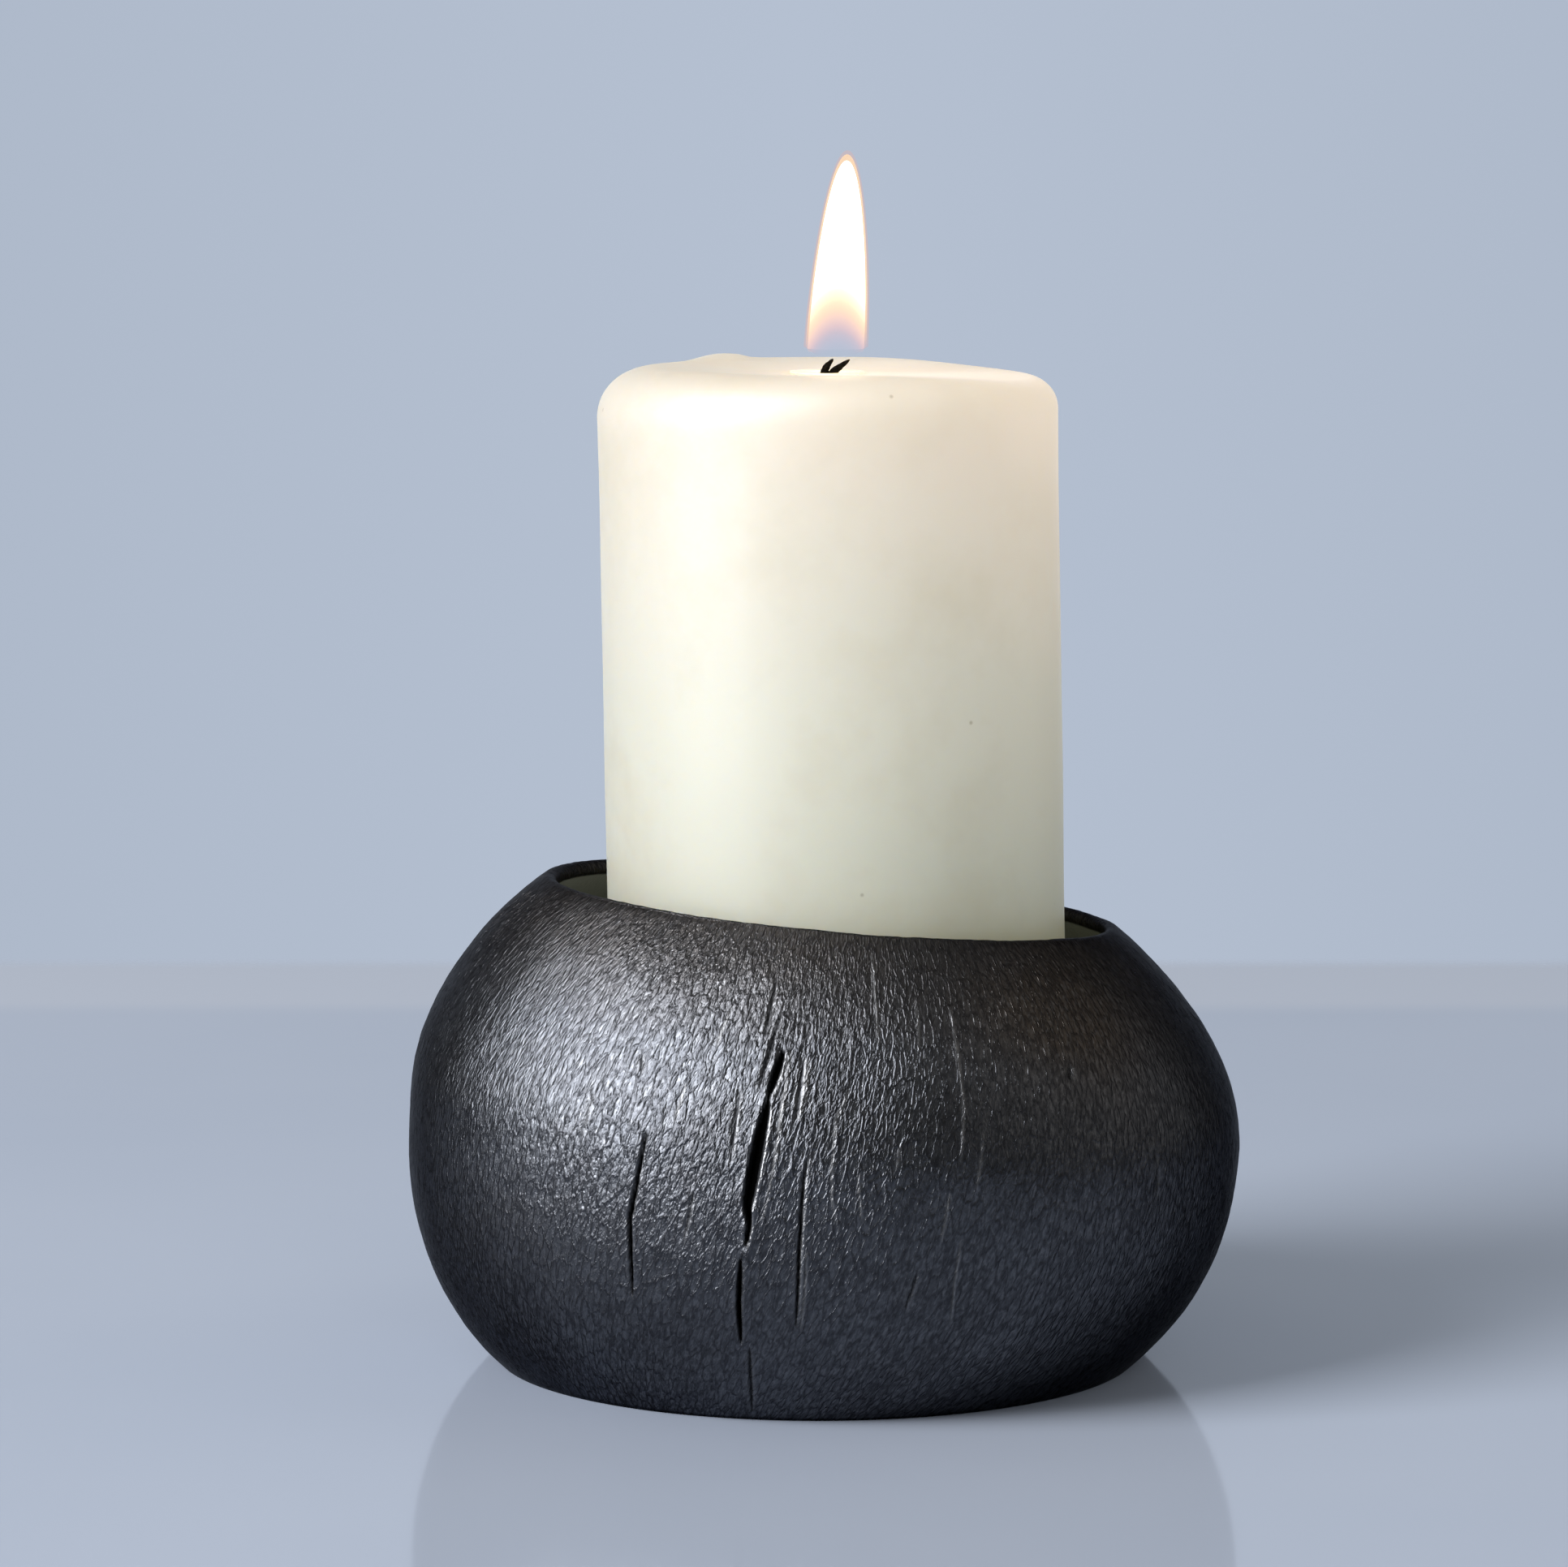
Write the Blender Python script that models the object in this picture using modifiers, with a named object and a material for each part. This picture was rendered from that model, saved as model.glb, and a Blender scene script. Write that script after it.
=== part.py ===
"""Pillar candle holder: a forged iron globe closed by a floor plate, with an ivory pillar candle standing in it.

Metres, +Z up. The origin lies on the table, under the middle of the globe.
The globe leans a little to +X, as a hand-forged piece does, and its foot is ground flat at Z = 0.
The candle, its wick, its melted wax and its flame lift straight up out of the globe together.
"""

import math

import bmesh
import bpy
from mathutils import Matrix, Vector

# Space kept between two solids that touch or rest on each other.
GAP = 0.0003

# The globe is drawn about its own axis, with heights counted from its widest ring.
GLOBE_RADIUS = 0.0529
GLOBE_CENTRE = (0.0002, 0.0, 0.0311)
GLOBE_UPPER = (0.0389, 1.80)  # height of the closed form above the widest ring, and the power of its curve
GLOBE_LOWER = (0.0450, 2.41)
GLOBE_LEAN_X = math.radians(5.1)
GLOBE_LEAN_Y = math.radians(1.6)
GLOBE_BOW = 2.43  # sideways bend of the axis, per metre of height squared
GLOBE_BOTTOM = -0.0365  # lowest ring, which the ground foot cuts away
MOUTH_HEIGHT = 0.0271
LIP_RADIUS = 0.00105
WALL = 0.0032
WALL_THINS_OVER = 0.020  # the forged wall draws thinner over this height below the mouth
GLOBE_STEPS = 72
WALL_ROWS = 13
LIP_ROWS = 5
FOOT_CUTTER_SIZE = 0.2
FOOT_CUTTER_DEPTH = 0.03

# Splits that opened along the iron's grain: azimuth from the front in degrees, height of the middle,
# length, width, depth, and slant of the top towards +X in degrees.
SPLITS = (
    (-8.1, 0.0113, 0.0046, 0.0014, 0.0012, 14.0),
    (-9.7, 0.0010, 0.0152, 0.0017, 0.0015, 5.5),
    (-25.9, -0.0076, 0.0196, 0.0009, 0.0009, 0.5),
    (-9.8, -0.0166, 0.0102, 0.0009, 0.0009, -3.0),
)

# Floor plate welded into the globe, level with the table.
PLATE_RADIUS = 0.0397
PLATE_TOP = 0.0070
PLATE_THICKNESS = 0.0025
PLATE_CENTRE = (-0.0007, 0.0004)
PLATE_EDGE = 0.0003
PLATE_SIDES = 72
BEAD_RADIUS = 0.0011
BEAD_RING_RADIUS = 0.0368
BEAD_CENTRE = (-0.0010, 0.0003)

# Pillar candle, about its own foot.
CANDLE_RADIUS = 0.0290
CANDLE_HEIGHT = 0.1188
CANDLE_FOOT = (0.0024, 0.0005, PLATE_TOP + GAP)
CANDLE_LEAN = math.tan(math.radians(-1.03))
SHOULDER_RADIUS = 0.0055
SHOULDER_ROWS = 6
FOOT_CHAMFER = 0.0008
CANDLE_STEPS = 64

# Burnt top of the candle: a shallow cup round the wick's bore, with depths below the crest.
WICK_HOLE_RADIUS = 0.0013
CUP_RADIUS = 0.0060
CUP_FLOOR_RADIUS = 0.0035
CUP_DEPTH = 0.00145
BORE_FUNNEL = 0.00015  # how much lower the cup lies at the bore than at its floor's edge
SLOPE_ROWS = 3
POOL_DEPTH = 0.00075
POOL_RADIUS = 0.0044
POOL_BED_RADIUS = 0.0033
POOL_EDGE = 0.0001

# Wick and flame.
WICK_RADIUS = 0.00095
WICK_TIP_RISE = 0.0008
WICK_TIP_LEAN = 0.0011
WICK_BEND_LEAN = 0.0002
WICK_BEND_RISE = 0.0005
FLAME_RADIUS = 0.0039
FLAME_UPPER = (0.0247, 1.6)
FLAME_LOWER = (0.0010, 2.4)
FLAME_BASE_RADIUS = 0.0029
FLAME_WIDEST = (0.00142, 0.0005, 0.1285)
FLAME_LEAN = math.radians(3.3)
FLAME_STEPS = 32
FLAME_ROWS = 16


def clear_scene():
    """Remove every object left in the file."""
    for obj in list(bpy.data.objects):
        bpy.data.objects.remove(obj)


def new_collection(name):
    """A collection linked under the scene."""
    group = bpy.data.collections.new(name)
    bpy.context.scene.collection.children.link(group)
    return group


def new_material(name, colour, roughness, metallic=0.0):
    """A Principled material of one linear colour."""
    material = bpy.data.materials.new(name)
    material.use_nodes = True
    shader = material.node_tree.nodes["Principled BSDF"]
    shader.inputs["Base Color"].default_value = (*colour, 1.0)
    shader.inputs["Roughness"].default_value = roughness
    shader.inputs["Metallic"].default_value = metallic
    return material


def round_radius(height, widest, upper, lower):
    """Radius of a round form at a height above its widest ring. upper and lower are (height, power)."""
    reach, power = upper if height > 0.0 else lower
    return widest * math.sqrt(max(0.0, 1.0 - (abs(height) / reach) ** power))


def smooth_step(value):
    """Ease from 0 to 1."""
    value = min(1.0, max(0.0, value))
    return value * value * (3.0 - 2.0 * value)


def turn(name, outline, steps, group, closed=True):
    """Turn (radius, height) points about Z. The points run down the outer side first."""
    shape = bmesh.new()
    points = [shape.verts.new((radius, 0.0, height)) for radius, height in outline]
    followers = points[1:] + points[:1] if closed else points[1:]
    for here, there in zip(points, followers):
        shape.edges.new((here, there))
    mesh = bpy.data.meshes.new(name)
    shape.to_mesh(mesh)
    shape.free()
    obj = bpy.data.objects.new(name, mesh)
    group.objects.link(obj)
    screw = obj.modifiers.new("turned profile", "SCREW")
    screw.axis = "Z"
    screw.angle = 2.0 * math.pi
    screw.steps = steps
    screw.render_steps = steps
    screw.use_merge_vertices = True
    screw.merge_threshold = 0.00001
    return obj


def freeze(obj):
    """Replace an object's modifiers by the mesh that they make."""
    bpy.context.view_layer.update()
    graph = bpy.context.evaluated_depsgraph_get()
    mesh = bpy.data.meshes.new_from_object(obj.evaluated_get(graph))
    obj.modifiers.clear()
    obj.data = mesh


def slide_rings(obj, rule):
    """Move each ring of a turned form sideways along X by rule(height)."""
    for vertex in obj.data.vertices:
        vertex.co.x += rule(vertex.co.z)


def finish(obj, material, sharp_degrees=35.0):
    """Give an object its material and smooth shading with sharp edges kept."""
    obj.data.materials.clear()
    obj.data.materials.append(material)
    if obj.type == "MESH":
        obj.data.shade_smooth()
        obj.data.set_sharp_from_angle(angle=math.radians(sharp_degrees))


def globe_radius(height):
    """Outer radius of the globe at a height above its widest ring."""
    return round_radius(height, GLOBE_RADIUS, GLOBE_UPPER, GLOBE_LOWER)


def globe_bow(height):
    """Sideways offset of the globe's axis."""
    return -GLOBE_BOW * height * height


def globe_normal(height):
    """Outward direction, as (radial, axial), of the globe's outer face."""
    step = 0.00001
    slope = (globe_radius(height + step) - globe_radius(height - step)) / (2.0 * step)
    length = math.hypot(1.0, slope)
    return 1.0 / length, -slope / length


def wall_thickness(height):
    """Thickness of the wall, which draws down to the rounded lip."""
    share = smooth_step((MOUTH_HEIGHT - height) / WALL_THINS_OVER)
    return 2.0 * LIP_RADIUS + (WALL - 2.0 * LIP_RADIUS) * share


def wall_point(height, depth):
    """Point (radius, height) at a depth under the outer face."""
    radial, axial = globe_normal(height)
    return globe_radius(height) - depth * radial, height - depth * axial


def globe_outline():
    """Closed outline: over the lip, down the outer face, and up the inner face."""
    heights = [MOUTH_HEIGHT + (GLOBE_BOTTOM - MOUTH_HEIGHT) * row / WALL_ROWS for row in range(WALL_ROWS + 1)]
    outer = [(globe_radius(height), height) for height in heights]
    inner = [wall_point(height, wall_thickness(height)) for height in heights]
    inner[-1] = (inner[-1][0], GLOBE_BOTTOM)
    centre = wall_point(MOUTH_HEIGHT, LIP_RADIUS)
    radial, axial = globe_normal(MOUTH_HEIGHT)
    start = math.atan2(axial, radial)
    angles = [start + math.pi * (1.0 - row / LIP_ROWS) for row in range(1, LIP_ROWS)]
    lip = [(centre[0] + LIP_RADIUS * math.cos(a), centre[1] + LIP_RADIUS * math.sin(a)) for a in angles]
    return lip + outer + inner[::-1]


def add_cut(obj, cutter):
    """Cut a closed mesh out of an object."""
    cut = obj.modifiers.new(cutter.name, "BOOLEAN")
    cut.operation = "DIFFERENCE"
    cut.solver = "EXACT"
    cut.object = cutter


def new_cutter(name, mesh_maker, matrix, cutters):
    """A hidden closed mesh made by mesh_maker and placed by a matrix."""
    shape = bmesh.new()
    mesh_maker(shape)
    mesh = bpy.data.meshes.new(name)
    shape.to_mesh(mesh)
    shape.free()
    cutter = bpy.data.objects.new(name, mesh)
    cutter.matrix_world = matrix
    cutter.hide_render = True
    cutter.display_type = "WIRE"
    cutters.objects.link(cutter)
    return cutter


def foot_cutter(cutters):
    """The block under the table top that grinds the foot flat."""
    size = Matrix.Diagonal((FOOT_CUTTER_SIZE, FOOT_CUTTER_SIZE, FOOT_CUTTER_DEPTH, 1.0))
    place = Matrix.Translation((0.0, 0.0, -FOOT_CUTTER_DEPTH / 2.0))

    def block(shape):
        bmesh.ops.create_cube(shape, size=1.0, matrix=size)

    return new_cutter("foot_cutter", block, place, cutters)


def split_cutter(name, split, globe_matrix, cutters):
    """A long thin ellipsoid sunk into the outer face where the iron split."""
    azimuth, height, length, width, depth, slant = split
    turn_to = Matrix.Rotation(math.radians(azimuth), 4, "Z")
    radial, axial = globe_normal(height)
    on_face = Matrix.Translation((0.0, -globe_radius(height), height))
    tip_back = Matrix.Rotation(-math.atan2(axial, radial), 4, "X")
    slant_turn = Matrix.Rotation(math.radians(slant), 4, "Y")
    bow = Matrix.Translation((globe_bow(height), 0.0, 0.0))
    size = Matrix.Diagonal((width / 2.0, depth, length / 2.0, 1.0))

    def spindle(shape):
        bmesh.ops.create_uvsphere(shape, u_segments=10, v_segments=10, radius=1.0, matrix=size)

    place = globe_matrix @ bow @ turn_to @ on_face @ tip_back @ slant_turn
    return new_cutter(name, spindle, place, cutters)


def make_globe(group, cutters):
    """The forged globe: open at the mouth, ground flat at the foot, split along the grain."""
    obj = turn("holder_shell", globe_outline(), GLOBE_STEPS, group)
    freeze(obj)
    slide_rings(obj, globe_bow)
    obj.location = GLOBE_CENTRE
    obj.rotation_euler = (-GLOBE_LEAN_Y, GLOBE_LEAN_X, 0.0)
    bpy.context.view_layer.update()
    add_cut(obj, foot_cutter(cutters))
    for index, split in enumerate(SPLITS, start=1):
        add_cut(obj, split_cutter(f"split_cutter_{index}", split, obj.matrix_world, cutters))
    finish(obj, new_material("blackened_iron", (0.035, 0.036, 0.040), 0.42, 0.85))
    return obj


def make_plate(group):
    """The round floor plate that the candle stands on."""
    bpy.ops.mesh.primitive_cylinder_add(vertices=PLATE_SIDES, radius=PLATE_RADIUS, depth=PLATE_THICKNESS)
    obj = take_active("floor_plate", group)
    obj.location = (*PLATE_CENTRE, PLATE_TOP - PLATE_THICKNESS / 2.0)
    edge = obj.modifiers.new("broken edge", "BEVEL")
    edge.width = PLATE_EDGE
    edge.segments = 1
    edge.limit_method = "ANGLE"
    finish(obj, new_material("mill_steel", (0.055, 0.054, 0.052), 0.55, 0.8))
    return obj


def make_bead(group):
    """The weld that holds the plate in the globe, run round under the plate's edge."""
    bpy.ops.mesh.primitive_torus_add(
        major_segments=PLATE_SIDES, minor_segments=8, major_radius=BEAD_RING_RADIUS, minor_radius=BEAD_RADIUS
    )
    obj = take_active("weld_bead", group)
    obj.location = (*BEAD_CENTRE, PLATE_TOP - PLATE_THICKNESS - GAP - BEAD_RADIUS)
    finish(obj, new_material("weld_steel", (0.08, 0.075, 0.07), 0.5, 0.85))
    return obj


def take_active(name, group):
    """Name the object that an operator just added, and move it to a collection."""
    obj = bpy.context.object
    obj.name = name
    obj.data.name = name
    for owner in list(obj.users_collection):
        owner.objects.unlink(obj)
    group.objects.link(obj)
    return obj


def candle_lean(height):
    """Sideways offset of the candle's axis at a height above its foot."""
    return CANDLE_LEAN * height


def candle_outline():
    """Closed outline of the wax: burnt top, shoulder, side, foot, and the bore for the wick."""
    crest_radius = CANDLE_RADIUS - SHOULDER_RADIUS
    shoulder_z = CANDLE_HEIGHT - SHOULDER_RADIUS
    cup = [
        (WICK_HOLE_RADIUS, CANDLE_HEIGHT - CUP_DEPTH - BORE_FUNNEL),
        (CUP_FLOOR_RADIUS, CANDLE_HEIGHT - CUP_DEPTH),
        (CUP_RADIUS, CANDLE_HEIGHT - POOL_DEPTH),
    ]
    slope = []
    for row in range(1, SLOPE_ROWS + 1):
        share = row / (SLOPE_ROWS + 1)
        radius = CUP_RADIUS + (crest_radius - CUP_RADIUS) * share
        slope.append((radius, CANDLE_HEIGHT - POOL_DEPTH * (1.0 - smooth_step(share))))
    shoulder = []
    for row in range(SHOULDER_ROWS + 1):
        angle = math.pi / 2.0 * (1.0 - row / SHOULDER_ROWS)
        rise = SHOULDER_RADIUS * math.sin(angle)
        shoulder.append((crest_radius + SHOULDER_RADIUS * math.cos(angle), shoulder_z + rise))
    foot = [
        (CANDLE_RADIUS, FOOT_CHAMFER),
        (CANDLE_RADIUS - FOOT_CHAMFER, 0.0),
        (WICK_HOLE_RADIUS, 0.0),
    ]
    return cup + slope + shoulder + foot


def make_wax(group, axis):
    """The pillar of wax, bored through for its wick."""
    obj = turn("candle_wax", candle_outline(), CANDLE_STEPS, group)
    freeze(obj)
    slide_rings(obj, candle_lean)
    obj.parent = axis
    finish(obj, new_material("ivory_wax", (0.83, 0.79, 0.68), 0.42))
    return obj


def make_pool(group, axis):
    """The melted wax that lies in the cup round the wick."""
    inner = WICK_HOLE_RADIUS + GAP
    level = CANDLE_HEIGHT - POOL_DEPTH
    bed = CANDLE_HEIGHT - CUP_DEPTH + GAP
    outline = [
        (inner, level),
        (POOL_RADIUS, level),
        (POOL_RADIUS, level - POOL_EDGE),
        (POOL_BED_RADIUS, bed),
        (inner, bed),
    ]
    obj = turn("melt_pool", outline, CANDLE_STEPS // 2, group)
    obj.location = (candle_lean(level), 0.0, 0.0)
    obj.parent = axis
    finish(obj, new_material("melted_wax", (0.90, 0.82, 0.60), 0.05))
    return obj


def make_wick(group, axis):
    """The braided cotton wick, which runs the whole height of the candle and bends over at its burnt tip."""
    base = CANDLE_HEIGHT - POOL_DEPTH
    route = [
        (candle_lean(GAP), 0.0, GAP),
        (candle_lean(base), 0.0, base),
        (candle_lean(base) + WICK_BEND_LEAN, 0.0, base + WICK_BEND_RISE),
        (candle_lean(base) + WICK_TIP_LEAN, 0.0, CANDLE_HEIGHT + WICK_TIP_RISE),
    ]
    curve = bpy.data.curves.new("wick", "CURVE")
    curve.dimensions = "3D"
    curve.bevel_depth = WICK_RADIUS
    curve.bevel_resolution = 2
    curve.use_fill_caps = True
    spline = curve.splines.new("POLY")
    spline.points.add(len(route) - 1)
    for point, place in zip(spline.points, route):
        point.co = (*place, 1.0)
    obj = bpy.data.objects.new("wick", curve)
    group.objects.link(obj)
    obj.parent = axis
    finish(obj, new_material("charred_cotton", (0.02, 0.018, 0.016), 0.9))
    return obj


def make_flame(group, axis):
    """The flame, as the closed form that its bright edge draws."""
    top, bottom = FLAME_UPPER[0], -FLAME_LOWER[0]
    outline = [(0.0, top)]
    for row in range(1, FLAME_ROWS):
        height = top + (bottom - top) * row / FLAME_ROWS
        outline.append((round_radius(height, FLAME_RADIUS, FLAME_UPPER, FLAME_LOWER), height))
    outline.append((FLAME_BASE_RADIUS, bottom))
    outline.append((0.0, bottom))
    obj = turn("flame", outline, FLAME_STEPS, group, closed=False)
    obj.location = Vector(FLAME_WIDEST) - Vector(CANDLE_FOOT)
    obj.rotation_euler = (0.0, FLAME_LEAN, 0.0)
    obj.parent = axis
    finish(obj, new_material("flame_light", (1.0, 0.86, 0.55), 1.0))
    return obj


def main():
    clear_scene()
    group = new_collection("pillar_candle_holder")
    cutters = new_collection("cutters")
    make_globe(group, cutters)
    make_plate(group)
    make_bead(group)
    axis = bpy.data.objects.new("candle_lift_axis", None)
    axis.location = CANDLE_FOOT
    group.objects.link(axis)
    make_wax(group, axis)
    make_pool(group, axis)
    make_wick(group, axis)
    make_flame(group, axis)


main()
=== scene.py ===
# %% [markdown]
# # A pillar candle in a forged iron globe
#
# The object is a squat globe of blackened iron with an open mouth. A plate is welded into it near the
# table, and an ivory pillar candle stands on the plate. The solid model already fixes where everything is,
# so this lesson only builds the finished surfaces over it and gives each one its material.

# %% Load the solid model as a fixed frame
import math

import bpy
import numpy as np
from mathutils import Euler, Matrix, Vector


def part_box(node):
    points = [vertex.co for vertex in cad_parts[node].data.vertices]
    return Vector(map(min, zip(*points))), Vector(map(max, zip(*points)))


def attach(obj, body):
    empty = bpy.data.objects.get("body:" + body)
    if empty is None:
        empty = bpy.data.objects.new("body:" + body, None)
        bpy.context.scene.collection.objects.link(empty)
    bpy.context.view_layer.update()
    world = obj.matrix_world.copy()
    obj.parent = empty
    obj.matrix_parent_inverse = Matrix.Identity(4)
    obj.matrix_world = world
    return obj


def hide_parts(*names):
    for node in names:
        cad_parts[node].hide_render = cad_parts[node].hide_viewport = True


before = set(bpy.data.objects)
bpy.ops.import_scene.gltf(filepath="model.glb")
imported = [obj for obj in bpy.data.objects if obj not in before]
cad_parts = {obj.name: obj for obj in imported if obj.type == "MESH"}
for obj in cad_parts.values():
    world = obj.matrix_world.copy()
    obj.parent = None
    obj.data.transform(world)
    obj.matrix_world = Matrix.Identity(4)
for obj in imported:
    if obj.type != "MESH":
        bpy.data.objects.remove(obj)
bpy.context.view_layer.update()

# %% [markdown]
# ## Helpers for colour and nodes
#
# A maker picks colours as they look on a screen, and shaders work in linear light, so one function turns a
# hex colour into linear numbers. Another one adds any node with its settings and links. The short ones
# after it name the steps that most materials share, so that each material reads as a list of what was done
# to the surface.

# %% Colour and node helpers
MM = 0.001


def linear(code):
    """Turn an sRGB hex colour into the linear RGBA that a shader expects."""
    parts = [int(code[start:start + 2], 16) / 255.0 for start in (1, 3, 5)]
    return (*[p / 12.92 if p <= 0.04045 else ((p + 0.055) / 1.055) ** 2.4 for p in parts], 1.0)


def add_node(tree, kind, inputs=None, stops=None, **settings):
    """Add a node, set its properties and ramp stops, and set or link each of its inputs."""
    node = tree.nodes.new("ShaderNode" + kind)
    for name, value in settings.items():
        setattr(node, name, value)
    for index, (place, colour) in enumerate(stops or []):
        ends = node.color_ramp.elements
        stop = ends[index] if index < len(ends) else ends.new(place)
        stop.position = place
        stop.color = linear(colour)
    for name, value in (inputs or {}).items():
        if isinstance(value, bpy.types.NodeSocket):
            tree.links.new(value, node.inputs[name])
        else:
            node.inputs[name].default_value = value
    return node


# %% Steps that materials share
def new_material(name):
    """A material with an empty node tree."""
    material = bpy.data.materials.new(name)
    material.use_nodes = True
    material.node_tree.nodes.clear()
    return material, material.node_tree


def object_place(tree):
    """The coordinates of the object itself, in metres."""
    return add_node(tree, "TexCoord").outputs["Object"]


def noise(tree, place, scale, detail, roughness=0.5, **settings):
    """Soft noise from 0 to 1. Its swells are about 1 / scale across."""
    inputs = {"Vector": place, "Scale": scale, "Detail": detail, "Roughness": roughness, **settings}
    return add_node(tree, "TexNoise", inputs).outputs["Fac"]


def remap(tree, value, old, new=(0.0, 1.0), kind="LINEAR"):
    """Map a value from one range to another, and hold it at the ends."""
    inputs = {"Value": value, "From Min": old[0], "From Max": old[1], "To Min": new[0], "To Max": new[1]}
    return add_node(tree, "MapRange", inputs, interpolation_type=kind).outputs["Result"]


def multiply(tree, value, factor, **settings):
    """value * factor."""
    return add_node(tree, "Math", {0: value, 1: factor}, operation="MULTIPLY", **settings).outputs[0]


def multiply_add(tree, value, factor, addend, **settings):
    """value * factor + addend."""
    inputs = {0: value, 1: factor, 2: addend}
    return add_node(tree, "Math", inputs, operation="MULTIPLY_ADD", **settings).outputs[0]


def ramp(tree, share, *stops):
    """Turn a share from 0 to 1 into a colour, through stops of (place, hex colour)."""
    return add_node(tree, "ValToRGB", {"Fac": share}, stops=stops).outputs["Color"]


def tint(tree, share, colour, code):
    """Mix a hex colour over another colour, by a share from 0 to 1."""
    inputs = {"Factor": share, "A": colour, "B": linear(code)}
    return add_node(tree, "Mix", inputs, data_type="RGBA").outputs["Result"]


def bump(tree, height, distance, strength):
    """Shade the surface as if it rose by height times distance."""
    inputs = {"Strength": strength, "Distance": distance, "Height": height}
    return add_node(tree, "Bump", inputs).outputs["Normal"]


def add_surface(tree, shader):
    """Join a shader to the material's output."""
    add_node(tree, "OutputMaterial", {"Surface": shader.outputs[0]})


# %% [markdown]
# ## Helpers for meshes
#
# Every turned piece here is a grid of points: rings of points, one ring above the other. Building the grid
# with arrays gives full control of each point, which a lathe modifier doesn't, and it is quick for fine
# forged skin.

# %% Mesh helpers
def smooth_step(value):
    """Ease from 0 to 1, for a number or an array."""
    value = np.clip(value, 0.0, 1.0)
    return value * value * (3.0 - 2.0 * value)


def grid_faces(rows, columns, close_rows=False):
    """Quads over a grid of points whose columns close on themselves."""
    row, column = np.meshgrid(np.arange(rows if close_rows else rows - 1), np.arange(columns), indexing="ij")
    beside = (column + 1) % columns
    here, below = row * columns, (row + 1) % rows * columns
    return np.stack((here + column, here + beside, below + beside, below + column), -1).reshape(-1, 4)


def build_piece(name, points, faces, material, attributes=None):
    """Make a smooth mesh object from points and faces, with named values stored at its points."""
    mesh = bpy.data.meshes.new(name)
    mesh.from_pydata(np.asarray(points).reshape(-1, 3).tolist(), [], [list(face) for face in faces])
    for key, values in (attributes or {}).items():
        kind, field = ("FLOAT_VECTOR", "vector") if values.ndim == 3 else ("FLOAT", "value")
        layer = mesh.attributes.new(key, kind, "POINT")
        layer.data.foreach_set(field, values.astype(np.float32).ravel())
    mesh.materials.append(material)
    mesh.shade_smooth()
    mesh.validate()
    piece = bpy.data.objects.new(name, mesh)
    bpy.context.scene.collection.objects.link(piece)
    print(f"{name}: {len(mesh.vertices)} points, {len(mesh.polygons)} faces")
    return piece


# %% [markdown]
# Forged skin needs noise that closes round the globe without a seam. A lattice of random slopes, blended
# smoothly between its points, gives that: the lattice wraps after a whole number of cells. The seeds are
# fixed, so the skin is the same on every run.

# %% Noise that wraps round
LATTICE_ROWS = 256


def ring_noise(across, along, cells_across, seed):
    """Smooth noise from about -1 to 1. across counts cells round the piece, along counts cells up it."""
    turn = np.random.default_rng(seed).uniform(0.0, 2.0 * np.pi, (cells_across, LATTICE_ROWS))
    column, row = np.floor(across).astype(int), np.floor(along).astype(int)
    right, up = across - column, along - row

    def corner(step_right, step_up):
        angle = turn[(column + step_right) % cells_across, (row + step_up) % LATTICE_ROWS]
        return np.cos(angle) * (right - step_right) + np.sin(angle) * (up - step_up)

    ease_right, ease_up = (t * t * t * (t * (6.0 * t - 15.0) + 10.0) for t in (right, up))
    lower = corner(0, 0) * (1.0 - ease_right) + corner(1, 0) * ease_right
    upper = corner(0, 1) * (1.0 - ease_right) + corner(1, 1) * ease_right
    return 1.5 * (lower * (1.0 - ease_up) + upper * ease_up)


# %% [markdown]
# ## The globe's form
#
# The real globe is a short length of heavy iron pipe, heated and hammered in at both ends. So its outline
# is a squashed round, fuller below than above, it leans a little, and its axis bows. The numbers are those
# of the solid model, and heights are counted from the widest ring.

# %% Outline of the globe
GLOBE_RADIUS = 0.0529
GLOBE_CENTRE = np.array((0.0002, 0.0, 0.0311))
GLOBE_UPPER = (0.0389, 1.80)
GLOBE_LOWER = (0.0450, 2.41)
GLOBE_BOW = 2.43
MOUTH_HEIGHT = 0.0271
LIP_RADIUS = 0.00105
WALL = 0.0032
WALL_THINS_OVER = 0.020
globe_turn = np.array(Euler((math.radians(-1.6), math.radians(5.1), 0.0)).to_matrix())


def globe_radius(height):
    """Outer radius at a height above the widest ring."""
    above = height > 0.0
    reach = np.where(above, GLOBE_UPPER[0], GLOBE_LOWER[0])
    power = np.where(above, GLOBE_UPPER[1], GLOBE_LOWER[1])
    return GLOBE_RADIUS * np.sqrt(np.maximum(0.0, 1.0 - (np.abs(height) / reach) ** power))


def globe_normal(height):
    """Outward direction of the outer face, as its radial and upward parts."""
    step = 0.00001
    slope = (globe_radius(height + step) - globe_radius(height - step)) / (2.0 * step)
    length = np.hypot(1.0, slope)
    return 1.0 / length, -slope / length


def wall_thickness(height):
    """The wall draws thinner towards the lip."""
    share = smooth_step((MOUTH_HEIGHT - height) / WALL_THINS_OVER)
    return 2.0 * LIP_RADIUS + (WALL - 2.0 * LIP_RADIUS) * share


def place_on_globe(radius, height, azimuth):
    """Row-frame points from radius, height and azimuth. Azimuth 0 faces -Y, and grows towards +X."""
    across, back = radius * np.sin(azimuth) - GLOBE_BOW * height**2, -radius * np.cos(azimuth)
    return np.stack((across, back, height), -1) @ globe_turn.T + GLOBE_CENTRE


print("mouth radius in mm:", round(float(globe_radius(np.array(MOUTH_HEIGHT))) * 1000, 2))

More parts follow.
